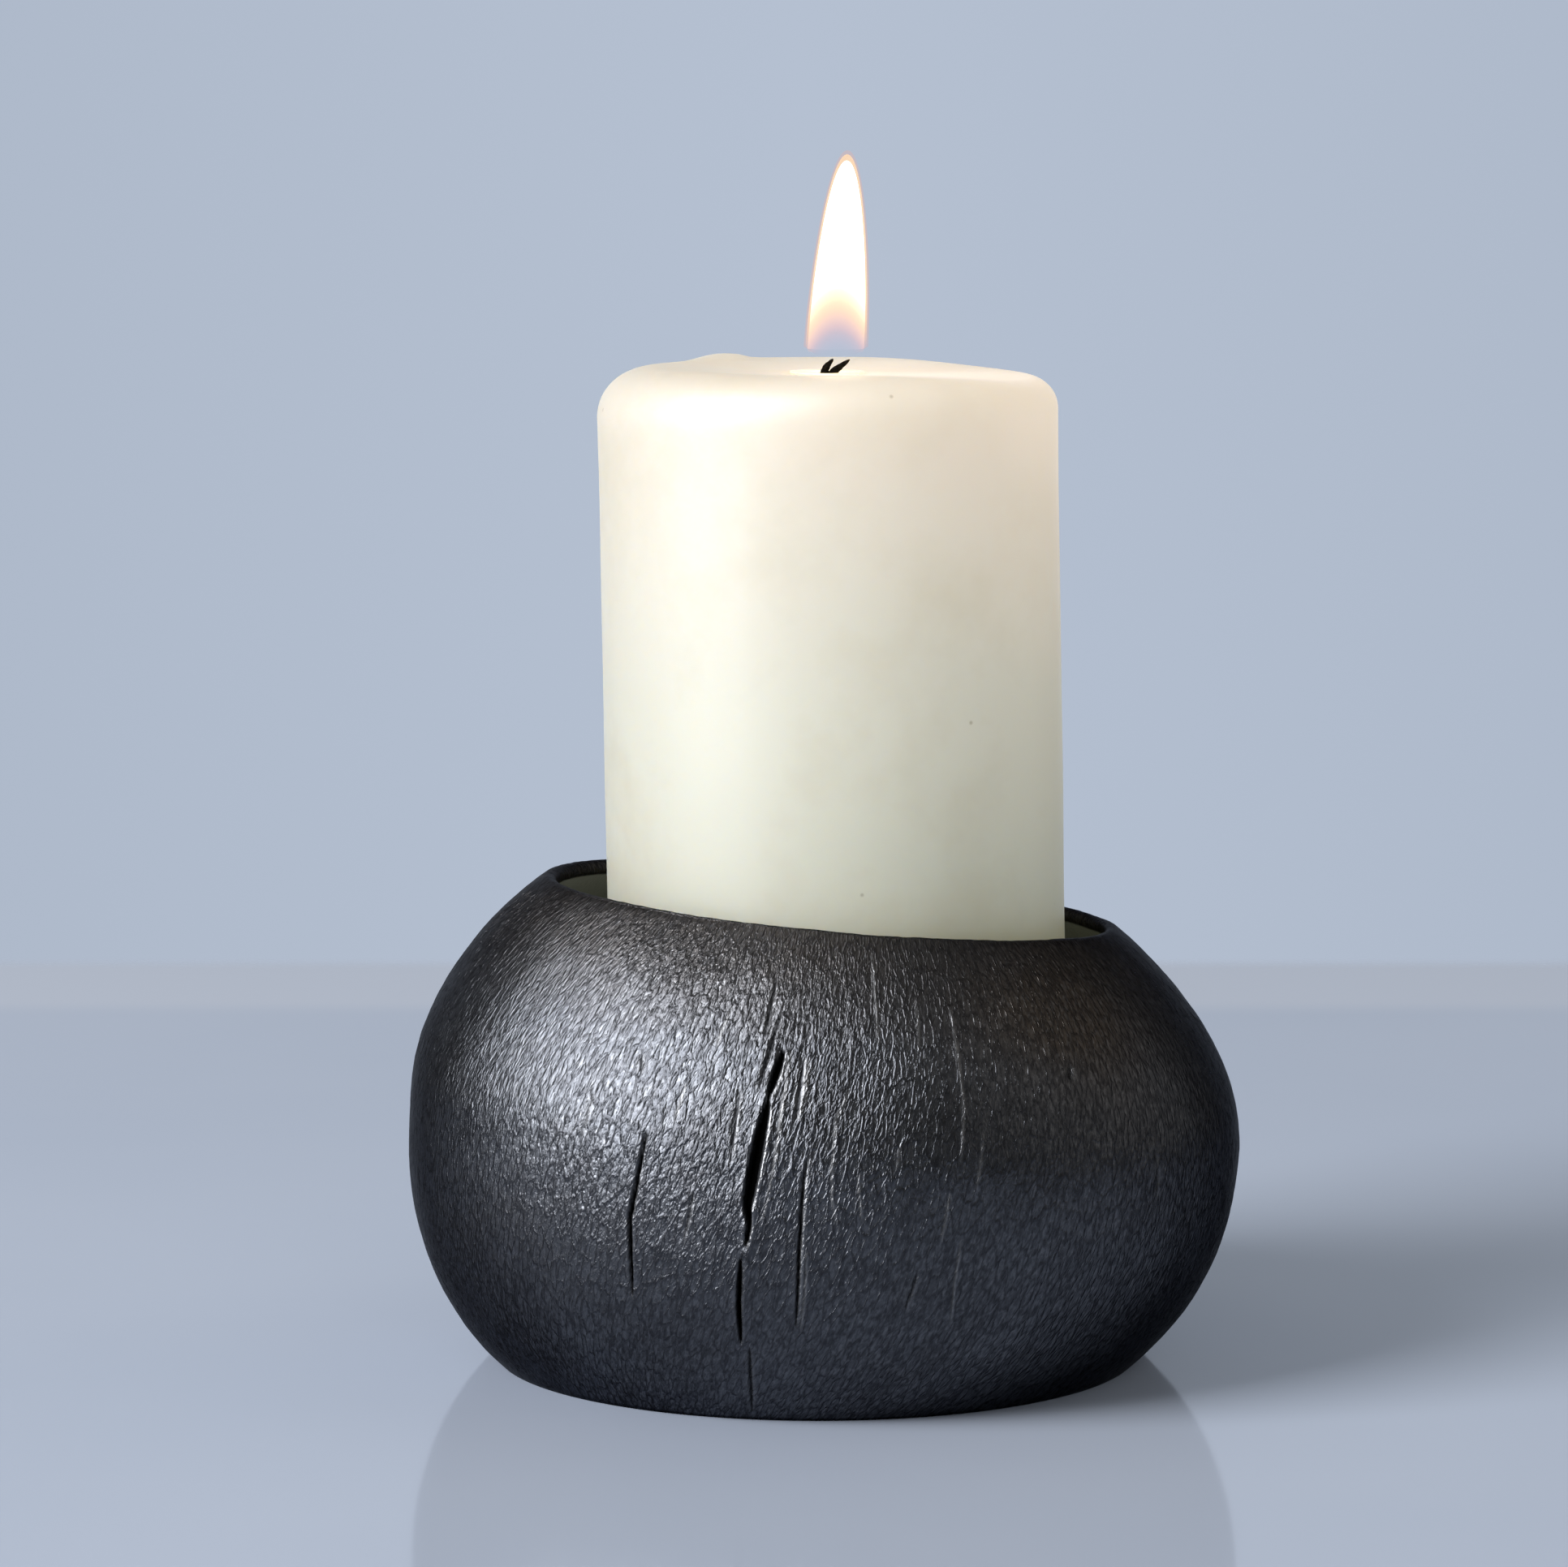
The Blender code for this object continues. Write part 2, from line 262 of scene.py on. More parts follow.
# %% [markdown]
# ## Where the points go
#
# The splits in the front are about 1 mm wide, so the columns there stand 0.2 mm apart. The sides are calmer
# and the back calmer still, so their columns stand further apart, and the mesh stays light.

# %% Columns and rows of the globe
FINE_FROM, FINE_TO = math.radians(-31.0), math.radians(23.0)
FINE_STEP, SIDE_STEP, BACK_STEP = 0.20 * MM, 0.42 * MM, 0.85 * MM
OUTER_ROWS, LIP_ROWS, INNER_ROWS = 112, 8, 14


def spread_columns():
    """Azimuths round the globe, close together in front and wider towards the back."""
    azimuths, angle = [], -math.pi
    while angle < math.pi - 0.5 * BACK_STEP / GLOBE_RADIUS:
        azimuths.append(angle)
        off_front = max(FINE_FROM - angle, angle - FINE_TO, 0.0)
        side = SIDE_STEP + (BACK_STEP - SIDE_STEP) * smooth_step((off_front - 1.0) / 0.5)
        step = FINE_STEP + (side - FINE_STEP) * smooth_step(off_front / 0.15)
        angle += step / GLOBE_RADIUS
    return np.array(azimuths)


def height_at_table(azimuth, depth):
    """Height at which the wall, at a depth under its outer face, meets the table at each azimuth."""
    low, high = np.full_like(azimuth, -0.040), np.full_like(azimuth, -0.020)
    for _ in range(40):
        middle = (low + high) / 2.0
        radial, axial = globe_normal(middle)
        spot = place_on_globe(globe_radius(middle) - depth * radial, middle - depth * axial, azimuth)
        above = spot[..., 2] > 0.0
        low, high = np.where(above, low, middle), np.where(above, middle, high)
    return (low + high) / 2.0


azimuth = spread_columns()
outer_foot = height_at_table(azimuth, 0.0)
inner_foot = height_at_table(azimuth, WALL)
print("columns:", len(azimuth), "foot heights in mm:", outer_foot.min() * 1000, outer_foot.max() * 1000)

# %% [markdown]
# The patterns of the skin follow the metal, so they need a distance measured along it. Adding up the small
# steps of the outline once gives a table from height to distance along the face.

# %% Distance along the outline
table_heights = np.linspace(-0.040, MOUTH_HEIGHT, 3000)
table_steps = np.hypot(np.diff(globe_radius(table_heights)), np.diff(table_heights))
table_lengths = np.concatenate(([0.0], np.cumsum(table_steps)))
table_lengths -= np.interp(0.0, table_heights, table_lengths)


def along_face(height):
    """Distance along the outer face, from the widest ring, upwards."""
    return np.interp(height, table_heights, table_lengths)


share = np.linspace(0.0, 1.0, OUTER_ROWS)[:, None]
outer_height = MOUTH_HEIGHT + (outer_foot[None, :] - MOUTH_HEIGHT) * share
outer_along = along_face(outer_height)
outer_angle = np.broadcast_to(azimuth, outer_height.shape)
outer_radius = globe_radius(outer_height)
print("face length in mm:", round(float(table_lengths[-1] - table_lengths[0]) * 1000, 1))

# %% [markdown]
# ## Splits along the grain
#
# Iron that is bent past what it can stretch opens along its grain. Each split here is a line of (azimuth in
# degrees, height in mm) with its width, its depth and how far its right edge stands up, in mm. A negative
# depth makes a fine raised ridge instead, which catches the light as a bright thread.

# %% Lines of the splits
SPLITS = (
    (1.15, 1.10, 0.10, ((-7.4, 13.8), (-8.1, 11.5), (-8.9, 8.4))),
    (1.75, 1.40, 0.12, ((-8.8, 8.2), (-9.4, 4.0), (-9.9, -1.0), (-10.2, -4.5), (-9.7, -6.8))),
    (0.75, 0.80, 0.10, ((-10.0, -4.5), (-9.7, -7.2), (-9.9, -9.6))),
    (0.40, 0.35, 0.03, ((-9.6, 21.8), (-10.0, 18.5), (-10.4, 15.3))),
    (0.45, 0.42, 0.03, ((-8.2, 18.1), (-9.1, 15.0), (-9.8, 11.9), (-10.3, 9.4))),
    (0.42, 0.28, 0.05, ((-12.8, 8.8), (-13.0, 4.0), (-13.1, 0.3))),
    (
        0.62, 0.75, 0.05,
        ((-25.0, 2.4), (-25.4, -1.5), (-25.8, -4.5), (-26.3, -8.0), (-25.9, -12.0), (-25.4, -17.6)),
    ),
    (0.40, 0.28, 0.04, ((-27.9, 11.4), (-27.3, 9.2))),
    (0.70, 0.80, 0.05, ((-10.4, -11.0), (-10.0, -17.0), (-9.1, -21.9))),
    (0.45, 0.30, 0.04, ((-7.7, -22.6), (-6.9, -27.0), (-5.9, -31.5))),
    (0.50, 0.40, 0.09, ((-2.9, 2.6), (-3.3, -0.8), (-3.1, -5.5), (-2.8, -9.9), (-1.7, -18.9))),
    (0.60, 0.22, 0.14, ((-4.5, 13.3), (-4.7, 10.0), (-4.9, 6.2))),
    (0.35, 0.22, 0.03, ((48.6, 6.3), (49.6, 1.0), (49.9, -2.5))),
    (0.90, 0.30, 0.10, ((36.2, 14.2), (35.3, 12.2))),
    (0.40, 0.25, 0.04, ((13.2, -11.0), (12.6, -15.5))),
    (0.40, 0.25, 0.05, ((-17.6, -4.0), (-18.3, -9.5))),
    (0.35, 0.20, 0.05, ((-34.0, 6.0), (-34.6, 1.0))),
)
RIDGES = (
    (0.42, 0.13, ((-6.4, 13.6), (-6.6, 9.5), (-6.9, 7.0), (-7.2, 0.3), (-7.6, -3.6), (-8.4, -7.2))),
    (0.40, 0.10, ((-3.7, 13.1), (-3.9, 8.3))),
    (0.34, 0.10, ((2.0, 10.3), (0.3, 6.8), (0.2, 1.0), (0.6, -2.5), (1.6, -5.9))),
    (0.34, 0.08, ((3.6, 0.8), (4.1, -2.0), (4.8, -5.1))),
    (0.32, 0.08, ((6.7, 25.3), (6.3, 20.5), (6.1, 15.7))),
    (0.34, 0.09, ((12.8, 20.4), (12.4, 17.4), (11.8, 14.9))),
    (0.36, 0.10, ((18.3, 20.0), (17.7, 14.4), (17.8, 9.6), (17.1, 2.5))),
    (0.32, 0.08, ((20.3, 5.8), (19.9, 2.5), (19.5, -0.7))),
    (0.32, 0.08, ((16.1, -1.0), (15.6, -7.0))),
    (0.34, 0.09, ((18.3, -6.6), (18.6, -12.0), (19.7, -17.2))),
    (0.30, 0.07, ((-1.9, -9.0), (-1.2, -14.5), (-0.9, -19.4))),
    (0.30, 0.07, ((9.0, 4.5), (8.6, 1.5))),
    (0.30, 0.07, ((-16.0, 18.0), (-17.2, 13.5))),
    (0.30, 0.07, ((-20.4, 9.0), (-21.2, 4.5))),
)


def line_distance(points, angle, along, radius):
    """For each point of the face: distance to a line, share along the line, and side of it (+1 is right)."""
    spots = [(math.radians(turn), float(along_face(height * MM))) for turn, height in points]
    flat = [(turn * GLOBE_RADIUS, rise) for turn, rise in spots]
    lengths = [math.dist(start, end) for start, end in zip(flat, flat[1:])]
    best = np.full(angle.shape, 1.0)
    share, side, passed = np.zeros(angle.shape), np.zeros(angle.shape), 0.0
    for start, end, length in zip(spots, spots[1:], lengths):
        run_x, run_y = (end[0] - start[0]) * radius, end[1] - start[1]
        off_x, off_y = (angle - start[0]) * radius, along - start[1]
        part = np.clip((off_x * run_x + off_y * run_y) / (run_x**2 + run_y**2), 0.0, 1.0)
        gap = np.hypot(off_x - part * run_x, off_y - part * run_y)
        nearer = gap < best
        best = np.where(nearer, gap, best)
        share = np.where(nearer, (passed + part * length) / sum(lengths), share)
        side = np.where(nearer, np.sign(off_y * run_x - off_x * run_y), side)
        passed += length
    return best, share, side


print("splits:", len(SPLITS), "ridges:", len(RIDGES))

# %% [markdown]
# ## Forged skin
#
# Hammering cold skin over hot iron crumples it into creases 0.5 to 1 mm apart that run up and down and lean
# a little. The creases are where a stretched, warped noise crosses zero, and the noise's own swell gives
# the soft rounded plates between them. A slow noise under it stands for the hammer's dents.

# %% Creases, plates and dents
CREASES_ROUND = 400  # about one crease cell each 0.83 mm at the widest ring
CREASE_LENGTH = 2.4 * MM
SLANT_LEFT, SLANT_RIGHT = 0.20, 0.02  # how far a crease leans towards +X for each mm that it climbs


def slanted(angle, along):
    """Azimuths that follow the lean of the creases, which is strongest in front, on the left."""
    leftness = 0.5 + 0.5 * np.cos(angle + math.radians(40.0))
    return angle - (SLANT_RIGHT + (SLANT_LEFT - SLANT_RIGHT) * leftness) * along / GLOBE_RADIUS


def worked(angle, height):
    """How hard the skin was worked, from 0 to 1: hardest round the splits, and uneven elsewhere."""
    degrees = np.degrees(angle)
    front = np.exp(-(((degrees + 16.0) / 26.0) ** 2) - ((height / MM - 4.0) / 22.0) ** 2)
    uneven = ring_noise(angle / (2.0 * np.pi) * 14, height / (19.0 * MM) + 9.0, 14, 7)
    patches = smooth_step(0.5 + 0.8 * uneven)
    return np.clip(0.22 + 0.78 * front + 0.25 * patches * (1.0 - front), 0.0, 1.0)


def skin_relief(angle, along):
    """The fine relief of the forged skin and the slow relief of the dents, both in metres."""
    around = angle / (2.0 * np.pi)
    drift = ring_noise(around * 44, along / (7.0 * MM), 44, 3)
    drift = drift + 0.5 * ring_noise(around * 96, along / (3.4 * MM), 96, 4)
    sway = ring_noise(around * 60, along / (5.0 * MM), 60, 5)
    across = slanted(angle, along) / (2.0 * np.pi) * CREASES_ROUND + 0.8 * drift
    up = along / CREASE_LENGTH + 0.55 * sway + 40.0
    broad = ring_noise(across, up, CREASES_ROUND, 11)
    narrow = ring_noise(across * 2.0, up * 1.6, CREASES_ROUND * 2, 12)
    crease = np.exp(-((broad / 0.16) ** 2))
    hair = np.exp(-((narrow / 0.20) ** 2))
    dents = ring_noise(around * 20, along / (15.0 * MM) + 5.0, 20, 8)
    dents = dents + 0.5 * ring_noise(around * 48, along / (6.0 * MM), 48, 9)
    fine = 0.070 * broad - 0.070 * crease + 0.034 * narrow - 0.026 * hair
    return fine * MM, 0.11 * dents * MM


fine, dents = skin_relief(outer_angle, outer_along)
work = worked(outer_angle, outer_height)
relief = work * fine + dents
print("skin relief in mm:", round(float(relief.min()) * 1000, 3), "to", round(float(relief.max()) * 1000, 3))

# %% [markdown]
# The skin fades out at the lip, which is rubbed smooth, and at the foot, which is ground flat. Then each
# split is cut into it. Its walls are steep, so the profile is a flat-topped well, and it narrows to both
# ends. Last, the metal to the right of the long split stands up as a bank and slopes down again, so that it
# turns away from the light and the sheen stops at the split.

# %% Cut the splits and raise the ridges
FADE_HEIGHT = 2.5 * MM


def spindle(part, power):
    """How full a line is along its length, from 0 at its ends to 1. A low power gives blunt ends."""
    return np.clip(4.0 * part * (1.0 - part), 0.0, 1.0) ** power


foot_fade = smooth_step((outer_height - outer_foot) / FADE_HEIGHT)
fade = foot_fade * (0.35 + 0.65 * smooth_step((MOUTH_HEIGHT - outer_height) / FADE_HEIGHT))
relief = relief * fade
# Splits and the grooves beside ridges: the iron material paints them black as painted shade.
split_shade_mask = np.zeros_like(relief)
# Ridges and raised split lips: the iron material paints them lighter as a painted highlight.
ridge_highlight_mask = np.zeros_like(relief)
jitter = ring_noise(outer_angle / (2.0 * np.pi) * 700, outer_along / (0.8 * MM), 700, 21)
for width, depth, raised, points in SPLITS:
    gap, part, side = line_distance(points, outer_angle, outer_along, outer_radius)
    taper = spindle(part, 0.5)
    half = 0.5 * width * MM * (0.15 + 0.85 * taper) + 0.06 * MM * jitter
    well = 1.0 - smooth_step((gap - 0.40 * half) / (0.60 * half + 0.06 * MM))
    relief -= depth * MM * well * (0.35 + 0.65 * taper)
    edge = np.exp(-(((gap - half - 0.16 * MM) / (0.22 * MM)) ** 2)) * taper
    relief += raised * MM * edge * np.where(side > 0.0, 1.0, 0.35)
    split_shade_mask = np.maximum(split_shade_mask, well * min(1.0, depth / 0.5))
    ridge_highlight_mask = np.maximum(ridge_highlight_mask, edge * np.where(side > 0.0, min(1.0, raised / 0.12), 0.2))
for width, raised, points in RIDGES:
    gap, part, side = line_distance(points, outer_angle, outer_along, outer_radius)
    taper = spindle(part, 0.4)
    wander = gap + 0.10 * MM * jitter
    thread = np.exp(-((wander / (0.42 * width * MM)) ** 2)) * taper
    groove = np.exp(-(((gap + 0.3 * width * MM * side) / (0.5 * width * MM)) ** 2)) * taper * (side < 0.0)
    relief += raised * MM * thread - 0.6 * raised * MM * groove
    ridge_highlight_mask = np.maximum(ridge_highlight_mask, thread)
    split_shade_mask = np.maximum(split_shade_mask, 0.5 * groove)

# %% Raise the bank beside the long split
BANK_LINE = ((-8.6, 21.0), (-8.6, 9.0), (-9.6, 0.0), (-9.7, -9.0), (-9.0, -20.0))
BANK_RISE, BANK_REACH, BANK_EDGE = 0.75 * MM, 4.0 * MM, 0.5 * MM
gap, part, side = line_distance(BANK_LINE, outer_angle, outer_along, outer_radius)
bank = np.exp(-gap / np.where(side > 0.0, BANK_REACH, BANK_EDGE))
relief += BANK_RISE * bank * spindle(part, 1.0)
print("deepest split in mm:", round(float(relief.min()) * 1000, 2))

# %% [markdown]
# ## One closed skin
#
# The rings run over the lip, down the outside, across the ground foot and up the inside, back to the lip.
# The mouth of a hand-forged piece is never quite level, so the rim also dips a little behind, to the right.

# %% Rings of the globe
def rim_wave(height, angle):
    """How far the rim rises or dips at each azimuth. It fades out below the shoulder."""
    near = smooth_step((height - 0.008) / (MOUTH_HEIGHT - 0.008))
    dip = np.exp(-(((np.degrees(angle) - 135.0) / 48.0) ** 2))
    rise = np.exp(-(((np.degrees(angle) + 135.0) / 48.0) ** 2))
    unevenness = ring_noise(angle / (2.0 * np.pi) * 26, np.full_like(angle, 3.5), 26, 31)
    return near * (-0.50 * dip + 0.20 * rise + 0.10 * unevenness) * MM


def ring_points(radius, height, angle, lift=0.0):
    """Points of the globe's rings after the rim's wave. lift moves them outwards along the outer normal."""
    radial, axial = globe_normal(np.minimum(height, MOUTH_HEIGHT))
    return place_on_globe(radius + lift * radial, height + lift * axial + rim_wave(height, angle), angle)


outer = ring_points(outer_radius, outer_height, outer_angle, relief)

mouth_radial, mouth_axial = (float(part) for part in globe_normal(np.array(MOUTH_HEIGHT)))
lip_centre_radius = float(globe_radius(np.array(MOUTH_HEIGHT))) - LIP_RADIUS * mouth_radial
lip_centre_height = MOUTH_HEIGHT - LIP_RADIUS * mouth_axial
lip_start = math.atan2(mouth_axial, mouth_radial)
lip_angle = (lip_start + math.pi * (1.0 - np.arange(1, LIP_ROWS) / LIP_ROWS))[:, None]
lip_shape = np.broadcast_to(azimuth, (LIP_ROWS - 1, len(azimuth)))
lip_wear = 0.05 * MM * ring_noise(lip_shape / (2.0 * np.pi) * 150, lip_angle * 1.5 + 7.0, 150, 33)
lip = ring_points(
    lip_centre_radius + (LIP_RADIUS + lip_wear) * np.cos(lip_angle),
    lip_centre_height + (LIP_RADIUS + lip_wear) * np.sin(lip_angle),
    lip_shape,
)

inner_share = np.linspace(0.0, 1.0, INNER_ROWS)[:, None]
inner_height = inner_foot[None, :] + (MOUTH_HEIGHT - inner_foot[None, :]) * inner_share
inner_depth = wall_thickness(inner_height)
inner_radial, inner_axial = globe_normal(inner_height)
inner_angle = np.broadcast_to(azimuth, inner_height.shape)
inner = ring_points(
    globe_radius(inner_height) - inner_depth * inner_radial,
    inner_height - inner_depth * inner_axial,
    inner_angle,
)
globe_points = np.concatenate((lip, outer, inner))
globe_points[..., 2] = np.maximum(globe_points[..., 2], 0.0)
globe_points[len(lip) + OUTER_ROWS - 1, :, 2] = 0.0
globe_points[len(lip) + OUTER_ROWS, :, 2] = 0.0
print("globe grid:", globe_points.shape[:2])

# %% [markdown]
# ## What the material needs to know
#
# Some things are easier to work out while the mesh is made: how deep a point lies in a split, which sets
# its painted shade, where ridges and split lips get a painted highlight, and where heat left the oxide
# brown. They are stored at the points, with a coordinate that follows the metal: round the globe and along
# its face, in mm.

# %% Values stored at the points
def whole_skin(values):
    """Put an outer-face value into the whole grid, with zero on the lip and inside."""
    return np.concatenate((np.zeros(lip.shape[:2]), values, np.zeros(inner.shape[:2])))


def brown_oxide(angle, height, along):
    """How brown the oxide is, from 0 to 1: under the rim, in a patch on the right and low on the left."""
    around = angle / (2.0 * np.pi)
    cloud = 0.5 + 0.5 * ring_noise(around * 12, along / (14.0 * MM) + 3.0, 12, 41)
    speckle = 0.5 + 0.5 * ring_noise(around * 70, along / (3.0 * MM), 70, 42)
    rim = smooth_step((height / MM - 12.0) / 12.0)
    degrees = np.degrees(angle)
    patch = np.exp(-(((degrees - 38.0) / 15.0) ** 2) - ((height / MM - 18.0) / 6.0) ** 2)
    low = 0.25 * np.exp(-(((degrees + 52.0) / 22.0) ** 2) - ((height / MM + 18.0) / 9.0) ** 2)
    return np.clip((0.75 * rim + patch + low) * (0.45 + 0.55 * cloud) + 0.15 * (speckle - 0.5), 0.0, 1.0)


mouth_along = along_face(MOUTH_HEIGHT)
lip_along = np.broadcast_to(mouth_along + LIP_RADIUS * (lip_start + math.pi - lip_angle), lip.shape[:2])
inner_along = -along_face(inner_height) + 2.0 * mouth_along
skin_angle = np.concatenate((lip_shape, outer_angle, inner_angle))
skin_along = np.concatenate((lip_along, outer_along, inner_along))
around_mm = GLOBE_RADIUS / MM
lean_angle = slanted(skin_angle, skin_along)
skin = np.stack((around_mm * np.cos(lean_angle), around_mm * np.sin(lean_angle), skin_along / MM), -1)
brown = np.concatenate((
    np.full(lip.shape[:2], 0.55),
    brown_oxide(outer_angle, outer_height, outer_along),
    np.full(inner.shape[:2], 0.15),
))
inside = np.concatenate((np.zeros(lip.shape[:2]), np.zeros(outer.shape[:2]), np.ones(inner.shape[:2])))
globe_values = {
    "skin": skin,
    "split": whole_skin(split_shade_mask),
    "ridge": whole_skin(ridge_highlight_mask),
    "work": np.concatenate((np.full(lip.shape[:2], 0.2), work * fade, np.full(inner.shape[:2], 0.3))),
    "brown": brown,
    "inside": inside,
}
print("values stored:", sorted(globe_values))

# %% [markdown]
# ## Blackened iron
#
# Forge black is a thin skin of iron oxide, rubbed with wax while it is warm. It is a metal surface, but the
# oxide returns only a few percent of the light, so the metal's colour is very dark, with the wax's satin
# roughness. The eye gets a soft broad sheen, broken into sparks by the crumpled skin. High spots are a
# little lighter, from rubbed wear and a painted highlight; low spots and the cracks between plates carry
# painted shade, and the splits are painted dead black as shade. Ridges get a painted highlight, and the rim
# has tempered to brown. Inside, the scale is a dull grey, painted pale to stand in for the candle's light.

# %% Material: blackened iron
iron, tree = new_material("forge_blackened_iron_waxed")
skin_at = add_node(tree, "Attribute", attribute_name="skin").outputs["Vector"]
brown_at, split_shade_at, ridge_highlight_at, work_at, inside_at = (
    add_node(tree, "Attribute", attribute_name=name).outputs["Fac"]
    for name in ("brown", "split", "ridge", "work", "inside")
)
# Crumple: cells 0.4 mm wide and 0.9 mm tall. Real ones run down to 0.1 mm, which is too fine to show.
crumple_at = add_node(tree, "Mapping", {"Vector": skin_at, "Scale": (2.5, 2.5, 1.1)}).outputs["Vector"]
crumple = noise(tree, crumple_at, 1.0, 2.0, Distortion=0.6)
# Plates: about 1 mm wide and 3 mm tall, with fine cracks between them that a noise bends.
plates_at = add_node(tree, "Mapping", {"Vector": skin_at, "Scale": (0.95, 0.95, 0.33)}).outputs["Vector"]
plates_off = add_node(tree, "TexNoise", {"Vector": plates_at, "Scale": 1.3, "Detail": 2.0}).outputs["Color"]
plates_way = add_node(tree, "VectorMath", {0: plates_off, 1: (0.5, 0.5, 0.5)}, operation="SUBTRACT")
plates_bent = add_node(
    tree, "VectorMath", {0: plates_way.outputs[0], 1: (0.9, 0.9, 0.9), 2: plates_at}, operation="MULTIPLY_ADD"
)
plates = add_node(
    tree, "TexVoronoi", {"Vector": plates_bent.outputs[0], "Scale": 1.0}, feature="DISTANCE_TO_EDGE"
)
cracks = remap(tree, plates.outputs["Distance"], (0.0, 0.16), kind="SMOOTHSTEP")
# Grit: 0.3 mm grains of scale.
grit = noise(tree, skin_at, 3.2, 1.0)

# %% Iron colour
cloud = noise(tree, skin_at, 0.07, 3.0, 0.6)
oxide = ramp(tree, cloud, (0.30, "#47484C"), (0.70, "#53555A"))
browned = tint(tree, brown_at, oxide, "#4E4843")
# Lighter on the high spots of the crumple: rubbed wear and a painted highlight.
rubbed_and_highlit = tint(tree, remap(tree, crumple, (0.50, 0.70), (0.0, 0.45)), browned, "#737478")
# Darker in the low spots of the crumple: painted shade.
sunk_shade = tint(tree, remap(tree, crumple, (0.50, 0.34), (0.0, 0.40)), rubbed_and_highlit, "#2B2B2E")
# Darker in the cracks between plates: painted shade.
crack_shade = tint(tree, remap(tree, cracks, (0.0, 1.0), (0.45, 0.0)), sunk_shade, "#242427")
# Ridges and raised split lips painted lighter: a painted highlight.
ridge_highlight = tint(tree, ridge_highlight_at, crack_shade, "#7F7F81")
# Inside painted pale: its dull grey scale, and painted light for the candle's light on the inner wall.
pale_inside_and_candle_light = tint(tree, inside_at, ridge_highlight, "#9EA19B")
# Splits painted near black: painted shade in the deep cracks.
iron_colour = tint(tree, multiply(tree, split_shade_at, 1.15, use_clamp=True), pale_inside_and_candle_light, "#050505")

# %% Iron roughness and relief
satin = remap(tree, crumple, (0.3, 0.7), (0.38, 0.29))
crumple_mm = multiply(tree, crumple, 0.20)
cracked_mm = multiply_add(tree, cracks, 0.07, crumple_mm)
rough_mm = multiply_add(tree, grit, 0.030, cracked_mm)
relief_mm = multiply(tree, rough_mm, multiply_add(tree, work_at, 0.75, 0.25))
add_surface(tree, add_node(
    tree, "BsdfPrincipled",
    {
        "Base Color": iron_colour,
        "Metallic": multiply_add(tree, inside_at, -0.9, 1.0),
        "Roughness": multiply_add(tree, split_shade_at, 0.5, satin, use_clamp=True),
        "Specular Tint": linear("#85868A"),
        "Normal": bump(tree, relief_mm, MM, 1.0),
    },
))
print("iron nodes:", len(tree.nodes))

# %% Build the globe
globe_faces = grid_faces(globe_points.shape[0], globe_points.shape[1], close_rows=True)
globe = build_piece("iron_globe", globe_points, globe_faces, iron, globe_values)
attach(globe, "holder")
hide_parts("holder_shell")

# %% [markdown]
# ## Mill scale and weld
#
# The floor plate is hot-rolled steel that kept its mill scale: blue-grey, flaky, duller than the waxed
# globe. The weld under it is a row of overlapping ripples with blued edges. Their solids already have the
# right shape, so they only get a material. Both are seen from underneath or when the candle is lifted out.

# %% Material: mill scale
scale, tree = new_material("hot_rolled_mill_scale")
place = object_place(tree)
# Flakes about 4 mm across.
flakes = add_node(tree, "TexVoronoi", {"Vector": place, "Scale": 260.0}, feature="DISTANCE_TO_EDGE")
mottle = noise(tree, place, 120.0, 4.0, 0.65)
flake_height = multiply_add(tree, flakes.outputs["Distance"], 0.35, mottle)
add_surface(tree, add_node(
    tree, "BsdfPrincipled",
    {
        "Base Color": ramp(tree, mottle, (0.30, "#26282B"), (0.55, "#3A3B3D"), (0.75, "#4A4038")),
        "Metallic": 0.8,
        "Roughness": remap(tree, mottle, (0.3, 0.7), (0.45, 0.70)),
        "Normal": bump(tree, flake_height, 0.08 * MM, 0.6),
    },
))
print("mill scale nodes:", len(tree.nodes))

# %% Material: weld bead
# Ripples about 1.2 mm apart, which is what a steady hand leaves. They are rays, since the weld runs round.
WELD_RIPPLES = 190.0
weld, tree = new_material("mig_weld_steel_as_welded")
place = object_place(tree)
parts = add_node(tree, "SeparateXYZ", {0: place})
ray = add_node(tree, "Math", {0: parts.outputs["Y"], 1: parts.outputs["X"]}, operation="ARCTAN2").outputs[0]
ripple = add_node(tree, "Math", {0: multiply(tree, ray, WELD_RIPPLES)}, operation="SINE").outputs[0]
heat = noise(tree, place, 180.0, 3.0)
add_surface(tree, add_node(
    tree, "BsdfPrincipled",
    {
        "Base Color": ramp(tree, heat, (0.30, "#3E4450"), (0.50, "#57534E"), (0.72, "#6E6252")),
        "Metallic": 0.9,
        "Roughness": 0.42,
        "Normal": bump(tree, multiply_add(tree, heat, 0.5, ripple), 0.10 * MM, 0.8),
    },
))
for name, finish in (("floor_plate", scale), ("weld_bead", weld)):
    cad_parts[name].data.materials.clear()
    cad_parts[name].data.materials.append(finish)
print("weld nodes:", len(tree.nodes))

# %% [markdown]
# ## The candle's form
#
# A pillar is cast in a tube mould and then burns from the top. The first burn melts its sharp upper edge
# into a shoulder, wider on the side the flame leans away from, and leaves a shallow cup round the wick. The
# rings are laid out from the wick's bore over the top and down the side, and each one is shifted a little,
# because the candle stands with a slight lean.

